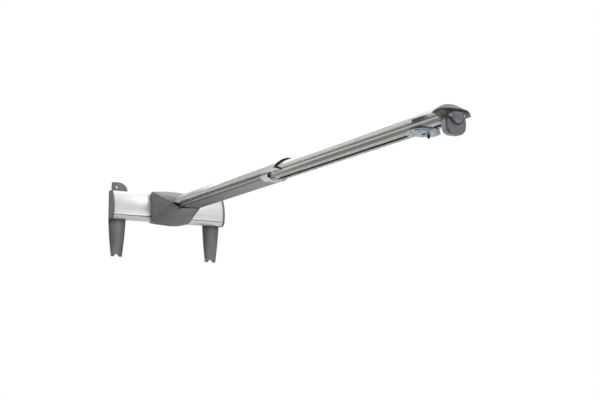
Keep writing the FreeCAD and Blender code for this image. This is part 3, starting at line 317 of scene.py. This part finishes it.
def add_piece(name, body, slot, mesh, replaces=(), look=None):
    """Links a mesh as a smooth piece with its finish, or another look, and ties it to its body."""
    for face in mesh.polygons:
        face.use_smooth = True
    mesh.set_sharp_from_angle(angle=SHARP_ANGLE)
    mesh.materials.append(FINISHES[look or slot])
    piece = bpy.data.objects.new(name, mesh)
    scene.collection.objects.link(piece)
    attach(piece, body)
    if replaces:
        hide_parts(*replaces)
    return piece


def mesh_of(*shells):
    """One mesh from shells of (verts, faces), with its normals turned outwards."""
    shape = bmesh.new()
    for verts, faces in shells:
        points = [shape.verts.new(vert) for vert in verts]
        for face in faces:
            shape.faces.new([points[index] for index in face])
    bmesh.ops.remove_doubles(shape, verts=shape.verts, dist=WELD_DISTANCE)
    bmesh.ops.recalc_face_normals(shape, faces=shape.faces)
    mesh = bpy.data.meshes.new("piece")
    shape.to_mesh(mesh)
    shape.free()
    return mesh


def skin(rings, folded=False):
    """A closed skin over rings of equal count; folded ends are closed strip by strip."""
    count = len(rings[0])
    verts = [point for ring in rings for point in ring]
    faces = []
    for row in range(len(rings) - 1):
        for index in range(count):
            step = (index + 1) % count
            faces.append((row * count + index, row * count + step,
                          (row + 1) * count + step, (row + 1) * count + index))
    last = (len(rings) - 1) * count
    if folded:
        for index in range(count // 2 - 1):
            strip = (index, index + 1, count - 2 - index, count - 1 - index)
            faces.append(strip)
            faces.append(tuple(last + corner for corner in strip))
    else:
        faces.append(tuple(range(count)))
        faces.append(tuple(range(last, last + count)))
    return verts, faces


def turned(profile, spot, direction, steps=40):
    """A turned shape: profile lists (radius, distance from spot along direction)."""
    turn = Vector(direction).to_track_quat("Z", "Y").to_matrix()
    rings = []
    for radius, reach in profile:
        rings.append([Vector(spot) + turn @ Vector((radius * math.cos(angle),
                                                   radius * math.sin(angle), reach))
                      for angle in (2 * math.pi * step / steps for step in range(steps))])
    return skin(rings)


def slab(outlines, low, high, radius, frame_matrix):
    """A flat shape with rounded edges and holes, from closed outlines, between two levels."""
    curve = bpy.data.curves.new("outline", "CURVE")
    curve.dimensions = "2D"
    curve.fill_mode = "BOTH"
    curve.extrude = (high - low) / 2 - radius
    curve.bevel_depth = radius
    curve.bevel_resolution = 2
    curve.offset = -radius
    for outline in outlines:
        spline = curve.splines.new("POLY")
        spline.points.add(len(outline) - 1)
        for point, (x, y) in zip(spline.points, outline):
            point.co = (x, y, 0, 1)
        spline.use_cyclic_u = True
    holder = bpy.data.objects.new("outline", curve)
    scene.collection.objects.link(holder)
    mesh = bpy.data.meshes.new_from_object(holder)
    bpy.data.objects.remove(holder)
    mesh.transform(frame_matrix @ Matrix.Translation((0, 0, (low + high) / 2)))
    mesh.materials.clear()
    return mesh


def circle(x, y, radius, steps=36, start=0.0, sweep=2 * math.pi):
    """Points on a circle, or on an arc without its last point."""
    return [(x + radius * math.cos(start + sweep * step / steps),
             y + radius * math.sin(start + sweep * step / steps)) for step in range(steps)]


# Turns a flat shape drawn in X and Y so that it stands in X and Z and faces -Y.
FACING_FRONT = Matrix(((1, 0, 0, 0), (0, 0, -1, 0), (0, 1, 0, 0), (0, 0, 0, 1)))


# ---------------------------------------------------------------- wall brackets

LEG_TOP_HALF = 25.5 * MM
LEG_FOOT_HALF = 16 * MM
LEG_FOOT_DEPTH = 9 * MM
LEG_TOP_DEPTH = 21 * MM
LEG_CROWN = 7 * MM
LEG_FLANGE = 3.5 * MM
LEG_SHELL_SHARE = 0.84
LEG_INSET = 25 * MM
LEG_TOP_LAP = 4 * MM
LEG_COLUMNS = 56
LEG_ROWS = 22
WIDTH_POWER = 1.5
DEPTH_POWER = 1.8
ROLL_POWER = 5
FORK_HALF = 7 * MM
FORK_HEIGHT = 6.5 * MM
WALL_HOLE_X = 148 * MM
WALL_HOLE_RADIUS = 3.5 * MM
PLATE_THICKNESS = 6 * MM
PLATE_EDGE = 0.8 * MM
PLATE_WIDTH = 49 * MM
SHOULDER_STEP = 7 * MM
SHOULDER_DROP = 8 * MM
FIN_CORNER = 4 * MM
FIN_FLAT = 24 * MM
FIN_STEPS = 14
FIN_POWER = 0.8


def leg_shell(side, low, high, top):
    """The forked leg: a crowned shell with a thin flange on the wall along both sides."""
    outer = high.x if side > 0 else low.x
    mid = outer - side * LEG_INSET
    rings = []
    for row in range(LEG_ROWS + 1):
        share = row / LEG_ROWS
        half = LEG_TOP_HALF + (LEG_FOOT_HALF - LEG_TOP_HALF) * share ** WIDTH_POWER
        depth = LEG_TOP_DEPTH + (LEG_FOOT_DEPTH - LEG_TOP_DEPTH) * share ** DEPTH_POWER
        front, back = [], []
        for column in range(LEG_COLUMNS + 1):
            across = 2 * column / LEG_COLUMNS - 1
            x = mid + half * across
            notch = max(0.0, 1 - (across * LEG_FOOT_HALF / FORK_HALF) ** 2) ** 0.5 * FORK_HEIGHT
            z = top + (low.z + notch - top) * share
            inside = min(abs(across) / LEG_SHELL_SHARE, 1.0)
            roll = (1 - inside ** ROLL_POWER) ** 0.5
            bulge = LEG_CROWN * (1 - inside * inside)
            rise = (depth - LEG_CROWN - LEG_FLANGE) * roll + bulge * (1 - 0.5 * share)
            front.append(Vector((x, -LEG_FLANGE - rise, z)))
            back.append(Vector((x, 0.0, z)))
        rings.append(front + back[::-1])
    return skin(rings, folded=True)


def wall_brackets():
    """A forked leg, and a plate with a fin and a screw hole, for each wall bracket."""
    for side, name in ((-1, "left"), (1, "right")):
        node = "wall_bracket_" + name
        low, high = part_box(node)
        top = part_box("cross_rail")[0].z + LEG_TOP_LAP
        leg = mesh_of(leg_shell(side, low, high, top))
        add_piece("bracket_leg_" + name, "wall_frame", "cast_grey", leg, (node,), "cast_leg")
        outline = fin_outline(side, low, high, top)
        hole = circle(side * WALL_HOLE_X, 0.0, WALL_HOLE_RADIUS)
        plate = slab([outline, hole], 0.0, PLATE_THICKNESS, PLATE_EDGE, FACING_FRONT)
        add_piece("bracket_plate_" + name, "wall_frame", "cast_grey", plate)


def fin_outline(side, low, high, leg_top):
    """Outline of the plate behind the rail with the fin above it, in X and Z."""
    inner, outer = (low.x, high.x) if side > 0 else (high.x, low.x)
    rail_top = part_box("cross_rail")[1].z
    foot_in = outer - side * PLATE_WIDTH
    shoulder = outer - side * SHOULDER_STEP
    corner_z = high.z - FIN_CORNER
    points = [(foot_in, leg_top), (outer, leg_top), (outer, rail_top - SHOULDER_DROP),
              (shoulder, rail_top), (shoulder, corner_z)]
    points += [(shoulder - side * FIN_CORNER + side * x, y) for x, y in
               circle(0.0, corner_z, FIN_CORNER, 6, 0.0, math.pi / 2)][1:]
    flat = outer - side * FIN_FLAT
    drop, run = high.z - rail_top, abs(flat - inner)
    points += [(flat - side * run * math.sin(angle), rail_top + drop * math.cos(angle) ** FIN_POWER)
               for angle in (math.pi / 2 * step / FIN_STEPS for step in range(FIN_STEPS + 1))]
    points += [(foot_in, rail_top - SHOULDER_DROP)]
    return points


# ---------------------------------------------------------------- arm details

COVER_FLAT_HALF = 15 * MM
COVER_WALL = 1.25 * MM
COVER_GAP = 1.7 * MM
COVER_LIP = 0.4 * MM
COVER_CORNER = 1.2 * MM
COVER_RISE = 0.2 * MM
TONGUE_INSET = 1.6 * MM
TONGUE_WALL = 0.6 * MM
COVER_INNER_INSET = 3.6 * MM
COVER_INNER_CORNER = 0.3 * MM
COVER_EDGE = 0.25 * MM
SEAL_DROP = 1.7 * MM
SEAL_AHEAD = 0.4 * MM
SEAL_SINK = 0.9 * MM
SEAL_STEPS = 40
BEAD_WIDTH = 1.25 * MM
BEAD_HEIGHT = 1.1 * MM
BEAD_TAPER = 0.35
WING_ROOT_X = 28.5 * MM
WING_ROOT_DROP = 3.65 * MM
BLADE_INNER_HALF = 42.3 * MM
BLADE_INNER_RISE = 20.3 * MM


def arc_height(x, half, rise):
    """Height of the arc that rises by rise over 2 * half, above its ends."""
    radius = (half * half + rise * rise) / (2 * rise)
    return math.sqrt(max(radius * radius - x * x, 0.0)) - (radius - rise)


def tube_along(path, width, height, steps=10):
    """A closed bead of elliptical section along a path of points, thinner at both ends."""
    rings = []
    for index, point in enumerate(path):
        ahead = path[min(index + 1, len(path) - 1)] - path[max(index - 1, 0)]
        side = ahead.cross(Vector((0, 1, 0))).normalized()
        lift = side.cross(ahead).normalized()
        taper = BEAD_TAPER if index in (0, len(path) - 1) else 1.0
        ring = []
        for step in range(steps):
            angle = 2 * math.pi * step / steps
            ring.append(point + (side * width * math.cos(angle)
                                 + lift * height * math.sin(angle)) * taper)
        rings.append(ring)
    return skin(rings)


def under_cover():
    """Cover that closes the outer tube, with a shadow gap along both of its upper edges."""
    low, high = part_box("base_under_cover")
    half, shelf = high.x, high.z - COVER_GAP
    tongue = half - TONGUE_INSET
    side = [(tongue - TONGUE_WALL, high.z), (tongue, high.z), (tongue, shelf),
            (half, shelf - COVER_LIP), (COVER_FLAT_HALF + COVER_CORNER, low.z + COVER_RISE),
            (COVER_FLAT_HALF - COVER_CORNER, low.z)]
    inner = [(COVER_FLAT_HALF - COVER_INNER_CORNER, low.z + COVER_WALL),
             (half - COVER_INNER_INSET, shelf - COVER_RISE)]
    outline = side + [(-x, z) for x, z in reversed(side)]
    outline += [(-x, z) for x, z in reversed(inner)] + inner
    rings = [[Vector((x, y, z)) for x, z in outline] for y in (high.y, low.y)]
    piece = add_piece("under_cover", "hub_and_outer_tube", "grey_plastic", mesh_of(skin(rings)),
                      ("base_under_cover",))
    round_edges(piece, COVER_EDGE)


def across_the_arc(half, rise, level, steps=SEAL_STEPS):
    """Points (x, z) from one end of an arc to the other."""
    places = (half * (2 * step / steps - 1) for step in range(steps + 1))
    return [(x, level + arc_height(x, abs(half), rise)) for x in places]


def seal_bead(low):
    """The bead along the mouth's edge; it wraps both wing tips and runs to the wing roots."""
    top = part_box("arm_base_profile")[1]
    tip_z, front = low.z - SEAL_DROP, low.y - SEAL_AHEAD
    roof = across_the_arc(top.x, top.z - tip_z, tip_z - SEAL_SINK)[1:-1]
    points = [(-WING_ROOT_X, tip_z - WING_ROOT_DROP), (-top.x, tip_z)] + roof
    points += [(top.x, tip_z), (WING_ROOT_X, tip_z - WING_ROOT_DROP)]
    return tube_along([Vector((x, front, z)) for x, z in points], BEAD_WIDTH, BEAD_HEIGHT)


def mouth_seal():
    """Black wiper in the outer tube's mouth: a curved blade, and the bead in front of it."""
    low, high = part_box("base_end_trim")
    section = across_the_arc(high.x, high.z - low.z, low.z)
    section += across_the_arc(-BLADE_INNER_HALF, BLADE_INNER_RISE, low.z)
    rings = [[Vector((x, y, z)) for x, z in section] for y in (low.y, high.y)]
    add_piece("mouth_seal", "hub_and_outer_tube", "black_rubber",
              mesh_of(seal_bead(low), skin(rings, folded=True)), ("base_end_trim",))


# ---------------------------------------------------------------- end cap and screws

AXIS_RADIUS = 0.01 * MM
PLUG_RADIUS = 14.5 * MM
PLUG_GAP = 2.5 * MM
PLUG_STEPS = 64
BIB_CORNER = 19.5 * MM
BIB_SIDE_DROP = 6 * MM
BIB_EDGE = 1.1 * MM
BIB_ARC_STEPS = 28
EAR_X = 16 * MM
EAR_RADIUS = 5 * MM
EAR_FLOOR = 3.2 * MM
# Screws: head radius, head height, shank radius and length, in millimetres.
CAP_SCREW = (2.3, 1.7, 1.9, 14.0)
CHEEK_SCREW = (3.1, 1.9, 1.8, 2.0)
CLAMP_SCREW = (3.5, 2.1, 1.8, 2.6)
# Outline of a pan head and its recess, as shares of the head's radius and height.
PAN_HEAD = ((0.96, 0.0), (1.0, 0.15), (1.0, 0.45), (0.86, 0.85), (0.66, 1.0), (0.55, 1.0),
            (0.5, 0.9), (0.5, 0.3))
RECESS_FLOOR = 0.2
SHANK_TIP = 0.8
SHANK_CHAMFER = 0.6 * MM
# Steps of a rim, each as (inwards from the edge, back from the face), in millimetres.
PLUG_RIM = ((0, 1.8), (0.5, 0.7), (1.6, 0.1), (2.4, 0.1), (2.9, 0.6), (3.5, 0.6), (4.1, 0.1))
EAR_RIM = ((0, 1.6), (0.6, 0.9), (1.1, 0.9), (1.5, 1.3), (1.7, 3.2))
PLUG_DOME = 0.5 * MM
PLUG_CROWN = 0.7 * MM
VISOR_TIP_DROP = 21.2 * MM
VISOR_REAR_RISE = 21.8 * MM
VISOR_FRONT_RISE = 6.5 * MM
VISOR_LENGTH = 25 * MM
# Size and place of the black strip that paints the shadow under the visor's front edge.
SHADOW_STRIP_REACH = 1.035
SHADOW_STRIP_STEPS = 48
SHADOW_STRIP_WIDTH = 1.0 * MM
SHADOW_STRIP_HEIGHT = 0.8 * MM
SHADOW_STRIP_DROP = 0.5 * MM
SHADOW_STRIP_AHEAD = 0.2 * MM
CHEEK_SINK = 1.6 * MM
CLAMP_SCREW_X = 11 * MM
CLAMP_SEAT = 2.2 * MM
STUB_RADIUS = 2.1 * MM
# Radius and height above the tip, in millimetres.
STUB_GRIP = ((2.1, 9.0), (2.9, 8.4), (3.1, 7.4), (3.1, 1.2), (2.4, 0.2))
NUT_SIDES = 6
STUB_NUT = ((2.1, 11.4), (3.4, 11.4), (3.8, 11.0), (3.8, 9.6), (3.4, 9.2), (2.1, 9.2))


def screw(spot, direction, size):
    """A pan head with a round recess, on its shank; spot is under the head."""
    radius, height, shank, length = (value * MM for value in size)
    profile = [(AXIS_RADIUS, -length), (shank * SHANK_TIP, -length),
               (shank, SHANK_CHAMFER - length), (shank, 0.0)]
    profile += [(radius * out, height * up) for out, up in PAN_HEAD]
    return turned(profile + [(AXIS_RADIUS, height * RECESS_FLOOR)], spot, direction)


def rim_steps(radius, face, steps):
    """A rim's steps as profile points, for a shape of this radius whose face is this far out."""
    return [(radius - inwards * MM, face - back * MM) for inwards, back in steps]


def bib_outline(low, half, centre_z):
    """The bib in X and Z: rounded foot corners, and a bay for the plug in its upper edge."""
    reach = PLUG_RADIUS + PLUG_GAP
    side_top, foot = centre_z - BIB_SIDE_DROP, low.z + BIB_CORNER
    inset = half - BIB_CORNER
    outline = [(half, side_top), (half, foot)]
    outline += [(inset + x, foot + y) for x, y in
                circle(0, 0, BIB_CORNER, 14, 0.0, -math.pi / 2)][1:]
    outline += [(x - inset, foot + y) for x, y in
                circle(0, 0, BIB_CORNER, 14, -math.pi / 2, -math.pi / 2)]
    outline += [(-half, foot), (-half, side_top)]
    start = math.pi + math.asin((centre_z - side_top) / reach)
    bay = circle(0.0, centre_z, reach, BIB_ARC_STEPS, start, 3 * math.pi - 2 * start)
    return outline + bay + [(-bay[0][0], side_top)]


def end_cap_front():
    """The bib, the domed plug above it with an ear on each side, and the two screws."""
    low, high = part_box("end_cap_bib")
    plug_low, plug_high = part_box("end_cap_plug")
    wall = plug_high.y - plug_low.y
    centre_z = plug_low.z + PLUG_RADIUS
    plate = slab([bib_outline(low, high.x, centre_z)], -high.y, -low.y, BIB_EDGE, FACING_FRONT)
    add_piece("cap_bib", "inner_tube", "cap_plastic", plate, ("end_cap_bib",))
    plug = [(AXIS_RADIUS, 0.0), (PLUG_RADIUS, 0.0)] + rim_steps(PLUG_RADIUS, wall, PLUG_RIM)
    plug += [(PLUG_RADIUS / 2, wall + PLUG_DOME), (AXIS_RADIUS, wall + PLUG_CROWN)]
    ear = [(AXIS_RADIUS, 0.0), (EAR_RADIUS, 0.0)] + rim_steps(EAR_RADIUS, wall, EAR_RIM)
    ear += [(AXIS_RADIUS, wall - EAR_FLOOR)]
    shells = [turned(plug, (0, plug_high.y, centre_z), (0, -1, 0), PLUG_STEPS)]
    screw_low, screw_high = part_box("end_cap_screws")
    screws = []
    for side in (-1, 1):
        spot = Vector((side * EAR_X, plug_high.y, (screw_low.z + screw_high.z) / 2))
        shells.append(turned(ear, spot, (0, -1, 0)))
        face = spot + Vector((0, EAR_FLOOR - wall, 0))
        screws.append(screw(face, (0, -1, 0), CAP_SCREW))
    mesh = mesh_of(*shells)
    trim_above(mesh, plug_high.z)
    add_piece("cap_plug", "inner_tube", "cap_plastic", mesh, ("end_cap_plug",))
    add_piece("cap_screws", "inner_tube", "zinc_plate", mesh_of(*screws), ("end_cap_screws",),
              "bright_screw")


def trim_above(mesh, level):
    """Cuts a mesh off above a level and closes the cut."""
    shape = bmesh.new()
    shape.from_mesh(mesh)
    parts = shape.verts[:] + shape.edges[:] + shape.faces[:]
    cut = bmesh.ops.bisect_plane(shape, geom=parts, plane_co=(0, 0, level), plane_no=(0, 0, 1),
                                 clear_outer=True)
    edges = [item for item in cut["geom_cut"] if isinstance(item, bmesh.types.BMEdge)]
    bmesh.ops.holes_fill(shape, edges=edges, sides=0)
    shape.to_mesh(mesh)
    shape.free()


def visor_shadow_strip():
    """A thin black strip along the visor's front edge, a little past its tips on both sides: painted
    shadow under the edge.
    """
    low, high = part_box("end_cap_shell")
    seam, half = high.y, high.x
    tip_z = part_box("extension_profile")[1].z - VISOR_TIP_DROP
    path = []
    for step in range(SHADOW_STRIP_STEPS + 1):
        x = half * SHADOW_STRIP_REACH * (2 * step / SHADOW_STRIP_STEPS - 1)
        inside = min(abs(x), half)
        ahead = arc_height(inside, half, seam - low.y)
        rise = VISOR_REAR_RISE + (VISOR_FRONT_RISE - VISOR_REAR_RISE) * ahead / VISOR_LENGTH
        z = tip_z + arc_height(inside, half, max(rise, 1 * MM)) - SHADOW_STRIP_DROP
        path.append(Vector((x, seam - ahead - SHADOW_STRIP_AHEAD, z)))
    add_piece("visor_shadow_strip", "inner_tube", "cap_plastic",
              mesh_of(tube_along(path, SHADOW_STRIP_WIDTH, SHADOW_STRIP_HEIGHT)), look="black_plastic")


def small_screws():
    """Heads of the hub's two cheek screws and of the two clamp screws."""
    low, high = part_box("hub_cover_screws")
    middle = (low + high) / 2
    heads = [screw((side * (high.x - CHEEK_SINK), middle.y, middle.z), (side, 0, 0), CHEEK_SCREW)
             for side in (-1, 1)]
    add_piece("cheek_screws", "hub_and_outer_tube", "zinc_plate", mesh_of(*heads),
              ("hub_cover_screws",))
    low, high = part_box("base_clamp_screws")
    middle = (low + high) / 2
    heads = [screw((side * CLAMP_SCREW_X, middle.y, low.z + CLAMP_SEAT), (0, 0, -1), CLAMP_SCREW)
             for side in (-1, 1)]
    add_piece("clamp_screws", "hub_and_outer_tube", "zinc_plate", mesh_of(*heads),
              ("base_clamp_screws",))


def lock_screw():
    """The swivel's lock screw: a nut under the bracket, and a thicker black end below it."""
    low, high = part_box("lock_screw")
    spot = ((low.x + high.x) / 2, (low.y + high.y) / 2, high.z)
    reach = high.z - low.z
    stub = [(AXIS_RADIUS, 0.0), (STUB_RADIUS, 0.0)]
    stub += [(radius * MM, reach - above * MM) for radius, above in STUB_GRIP]
    stub += [(AXIS_RADIUS, reach)]
    add_piece("lock_screw_stub", "lock_screw_body", "black_steel",
              mesh_of(turned(stub, spot, (0, 0, -1))), ("lock_screw",))
    nut = [(radius * MM, reach - above * MM) for radius, above in STUB_NUT]
    add_piece("lock_screw_nut", "lock_screw_body", "zinc_plate",
              mesh_of(turned(nut, spot, (0, 0, -1), NUT_SIDES)))


# ---------------------------------------------------------------- stage

CAMERA_SPOT = Vector((-1617.9, -3782.6, -689.6)) * MM
CAMERA_YAW = math.radians(28.59)
CAMERA_PITCH = math.radians(9.22)
CAMERA_LENS = 86.58
CAMERA_FAR = 60.0
FLOOR_REACH = 30.0
FLOOR_DROP = 2.6
FLOOR_ROUGHNESS = 0.9
FLOOR_TONES = ((0.92, 0.92, 0.92, 1), (0.95, 0.95, 0.95, 1))
LAMP_TARGET = Vector((0, -0.7, -0.05))
# Place in metres, width in metres and power in watts.
LAMPS = {"key": ((1.6, -3.2, 2.4), 1.6, 48.0), "top": ((-0.3, -0.9, 2.6), 2.0, 14.0),
         "fill": ((1.3, -4.0, -1.5), 2.2, 22.0), "rear": ((1.0, 2.4, 2.15), 1.8, 14.0)}
# The surround as light, in steps of (height, tone); height is 0 straight down and 1 straight up.
LEFT_TONES = ((0.0, 0.30), (0.26, 0.20), (0.36, 0.24), (0.47, 1.0), (0.55, 0.90), (0.70, 0.40),
              (1.0, 0.95))
RIGHT_TONES = ((0.0, 0.60), (0.25, 0.95), (0.34, 0.95), (0.41, 0.22), (0.50, 0.40), (0.62, 0.55),
               (1.0, 1.0))
FRONT_TONES = ((0.0, 0.48), (0.18, 0.52), (0.28, 0.92), (0.42, 0.82), (0.53, 0.36), (0.68, 0.50),
               (1.0, 0.95))
ACROSS_SPAN = (-0.05, 0.22)
DEPTH_SPAN = (-0.1, 0.35)


def camera_like_the_photo():
    """Camera of the fitted view: below and left of the arm, looking up and right along it."""
    forward = Vector((math.sin(CAMERA_YAW) * math.cos(CAMERA_PITCH),
                      math.cos(CAMERA_YAW) * math.cos(CAMERA_PITCH), math.sin(CAMERA_PITCH)))
    data = bpy.data.cameras.new("camera")
    data.lens = CAMERA_LENS
    data.clip_end = CAMERA_FAR
    camera = bpy.data.objects.new("camera", data)
    camera.location = CAMERA_SPOT
    camera.rotation_euler = forward.to_track_quat("-Z", "Y").to_euler()
    scene.collection.objects.link(camera)
    scene.camera = camera


def pale_floor():
    """A wide pale floor far below, which the object neither mirrors nor takes light from."""
    kit = Nodes("pale_floor")
    tone = kit.ramp(kit.noise(scale=1.5, detail=2.0), *FLOOR_TONES)
    kit.feed(kit.shader.inputs["Base Color"], tone)
    kit.feed(kit.shader.inputs["Roughness"], FLOOR_ROUGHNESS)
    level = cad_bounds[0][2] - FLOOR_DROP
    corners = [(x * FLOOR_REACH, y * FLOOR_REACH, level)
               for x, y in ((-1, -1), (1, -1), (1, 1), (-1, 1))]
    mesh = bpy.data.meshes.new("floor")
    mesh.from_pydata(corners, [], [(0, 1, 2, 3)])
    mesh.materials.append(kit.material)
    floor = bpy.data.objects.new("floor", mesh)
    scene.collection.objects.link(floor)
    floor.visible_diffuse = False
    floor.visible_glossy = False


def lamps():
    """Four soft lamps, all turned to the middle of the arm."""
    for name, (spot, size, power) in LAMPS.items():
        data = bpy.data.lights.new(name, "AREA")
        data.energy = power
        data.size = size
        lamp = bpy.data.objects.new(name, data)
        lamp.location = spot
        aim = LAMP_TARGET - Vector(spot)
        lamp.rotation_euler = aim.to_track_quat("-Z", "Y").to_euler()
        scene.collection.objects.link(lamp)


def surround():
    """White behind the object; as a light, a studio whose far side is darker low on the left."""
    world = bpy.data.worlds.new("surround")
    world.use_nodes = True
    tree = world.node_tree
    tree.nodes.clear()
    output = tree.nodes.new("ShaderNodeOutputWorld")
    mix = tree.nodes.new("ShaderNodeMixShader")
    seen, lit = (tree.nodes.new("ShaderNodeBackground") for _ in range(2))
    seen.inputs["Color"].default_value = grey(1.0)
    rays = tree.nodes.new("ShaderNodeLightPath")
    place = tree.nodes.new("ShaderNodeTexCoord")
    parts = tree.nodes.new("ShaderNodeSeparateXYZ")
    link = tree.links.new
    link(place.outputs["Generated"], parts.inputs[0])
    height = spread_over(tree, parts.outputs["Z"], -1.0, 1.0)
    front, left, right = (tone_ramp(tree, height, stops)
                          for stops in (FRONT_TONES, LEFT_TONES, RIGHT_TONES))
    across = spread_over(tree, parts.outputs["X"], *ACROSS_SPAN)
    depth = spread_over(tree, parts.outputs["Y"], *DEPTH_SPAN)
    far = blend(tree, across, left, right)
    link(blend(tree, depth, front, far), lit.inputs["Color"])
    link(rays.outputs["Is Camera Ray"], mix.inputs["Fac"])
    link(lit.outputs[0], mix.inputs[1])
    link(seen.outputs[0], mix.inputs[2])
    link(mix.outputs[0], output.inputs["Surface"])
    scene.world = world


def spread_over(tree, value, low, high):
    """Maps low..high onto 0..1."""
    node = tree.nodes.new("ShaderNodeMapRange")
    tree.links.new(value, node.inputs["Value"])
    node.inputs["From Min"].default_value = low
    node.inputs["From Max"].default_value = high
    return node.outputs[0]


def blend(tree, share, first, second):
    """Mixes two colours; share is 0 for the first and 1 for the second."""
    node = tree.nodes.new("ShaderNodeMix")
    node.data_type = "RGBA"
    tree.links.new(share, node.inputs[0])
    tree.links.new(first, node.inputs[6])
    tree.links.new(second, node.inputs[7])
    return node.outputs[2]


def tone_ramp(tree, value, stops):
    """A ramp of greys with the given (position, tone) stops."""
    node = tree.nodes.new("ShaderNodeValToRGB")
    tree.links.new(value, node.inputs["Fac"])
    ramp = node.color_ramp
    while len(ramp.elements) < len(stops):
        ramp.elements.new(0.5)
    for element, (position, tone) in zip(ramp.elements, stops):
        element.position = position
        element.color = grey(tone)
    return node.outputs["Color"]


dress_cad_nodes()
wall_brackets()
under_cover()
mouth_seal()
end_cap_front()
visor_shadow_strip()
small_screws()
lock_screw()
camera_like_the_photo()
pale_floor()
surround()
lamps()
scene.view_settings.view_transform = "Standard"
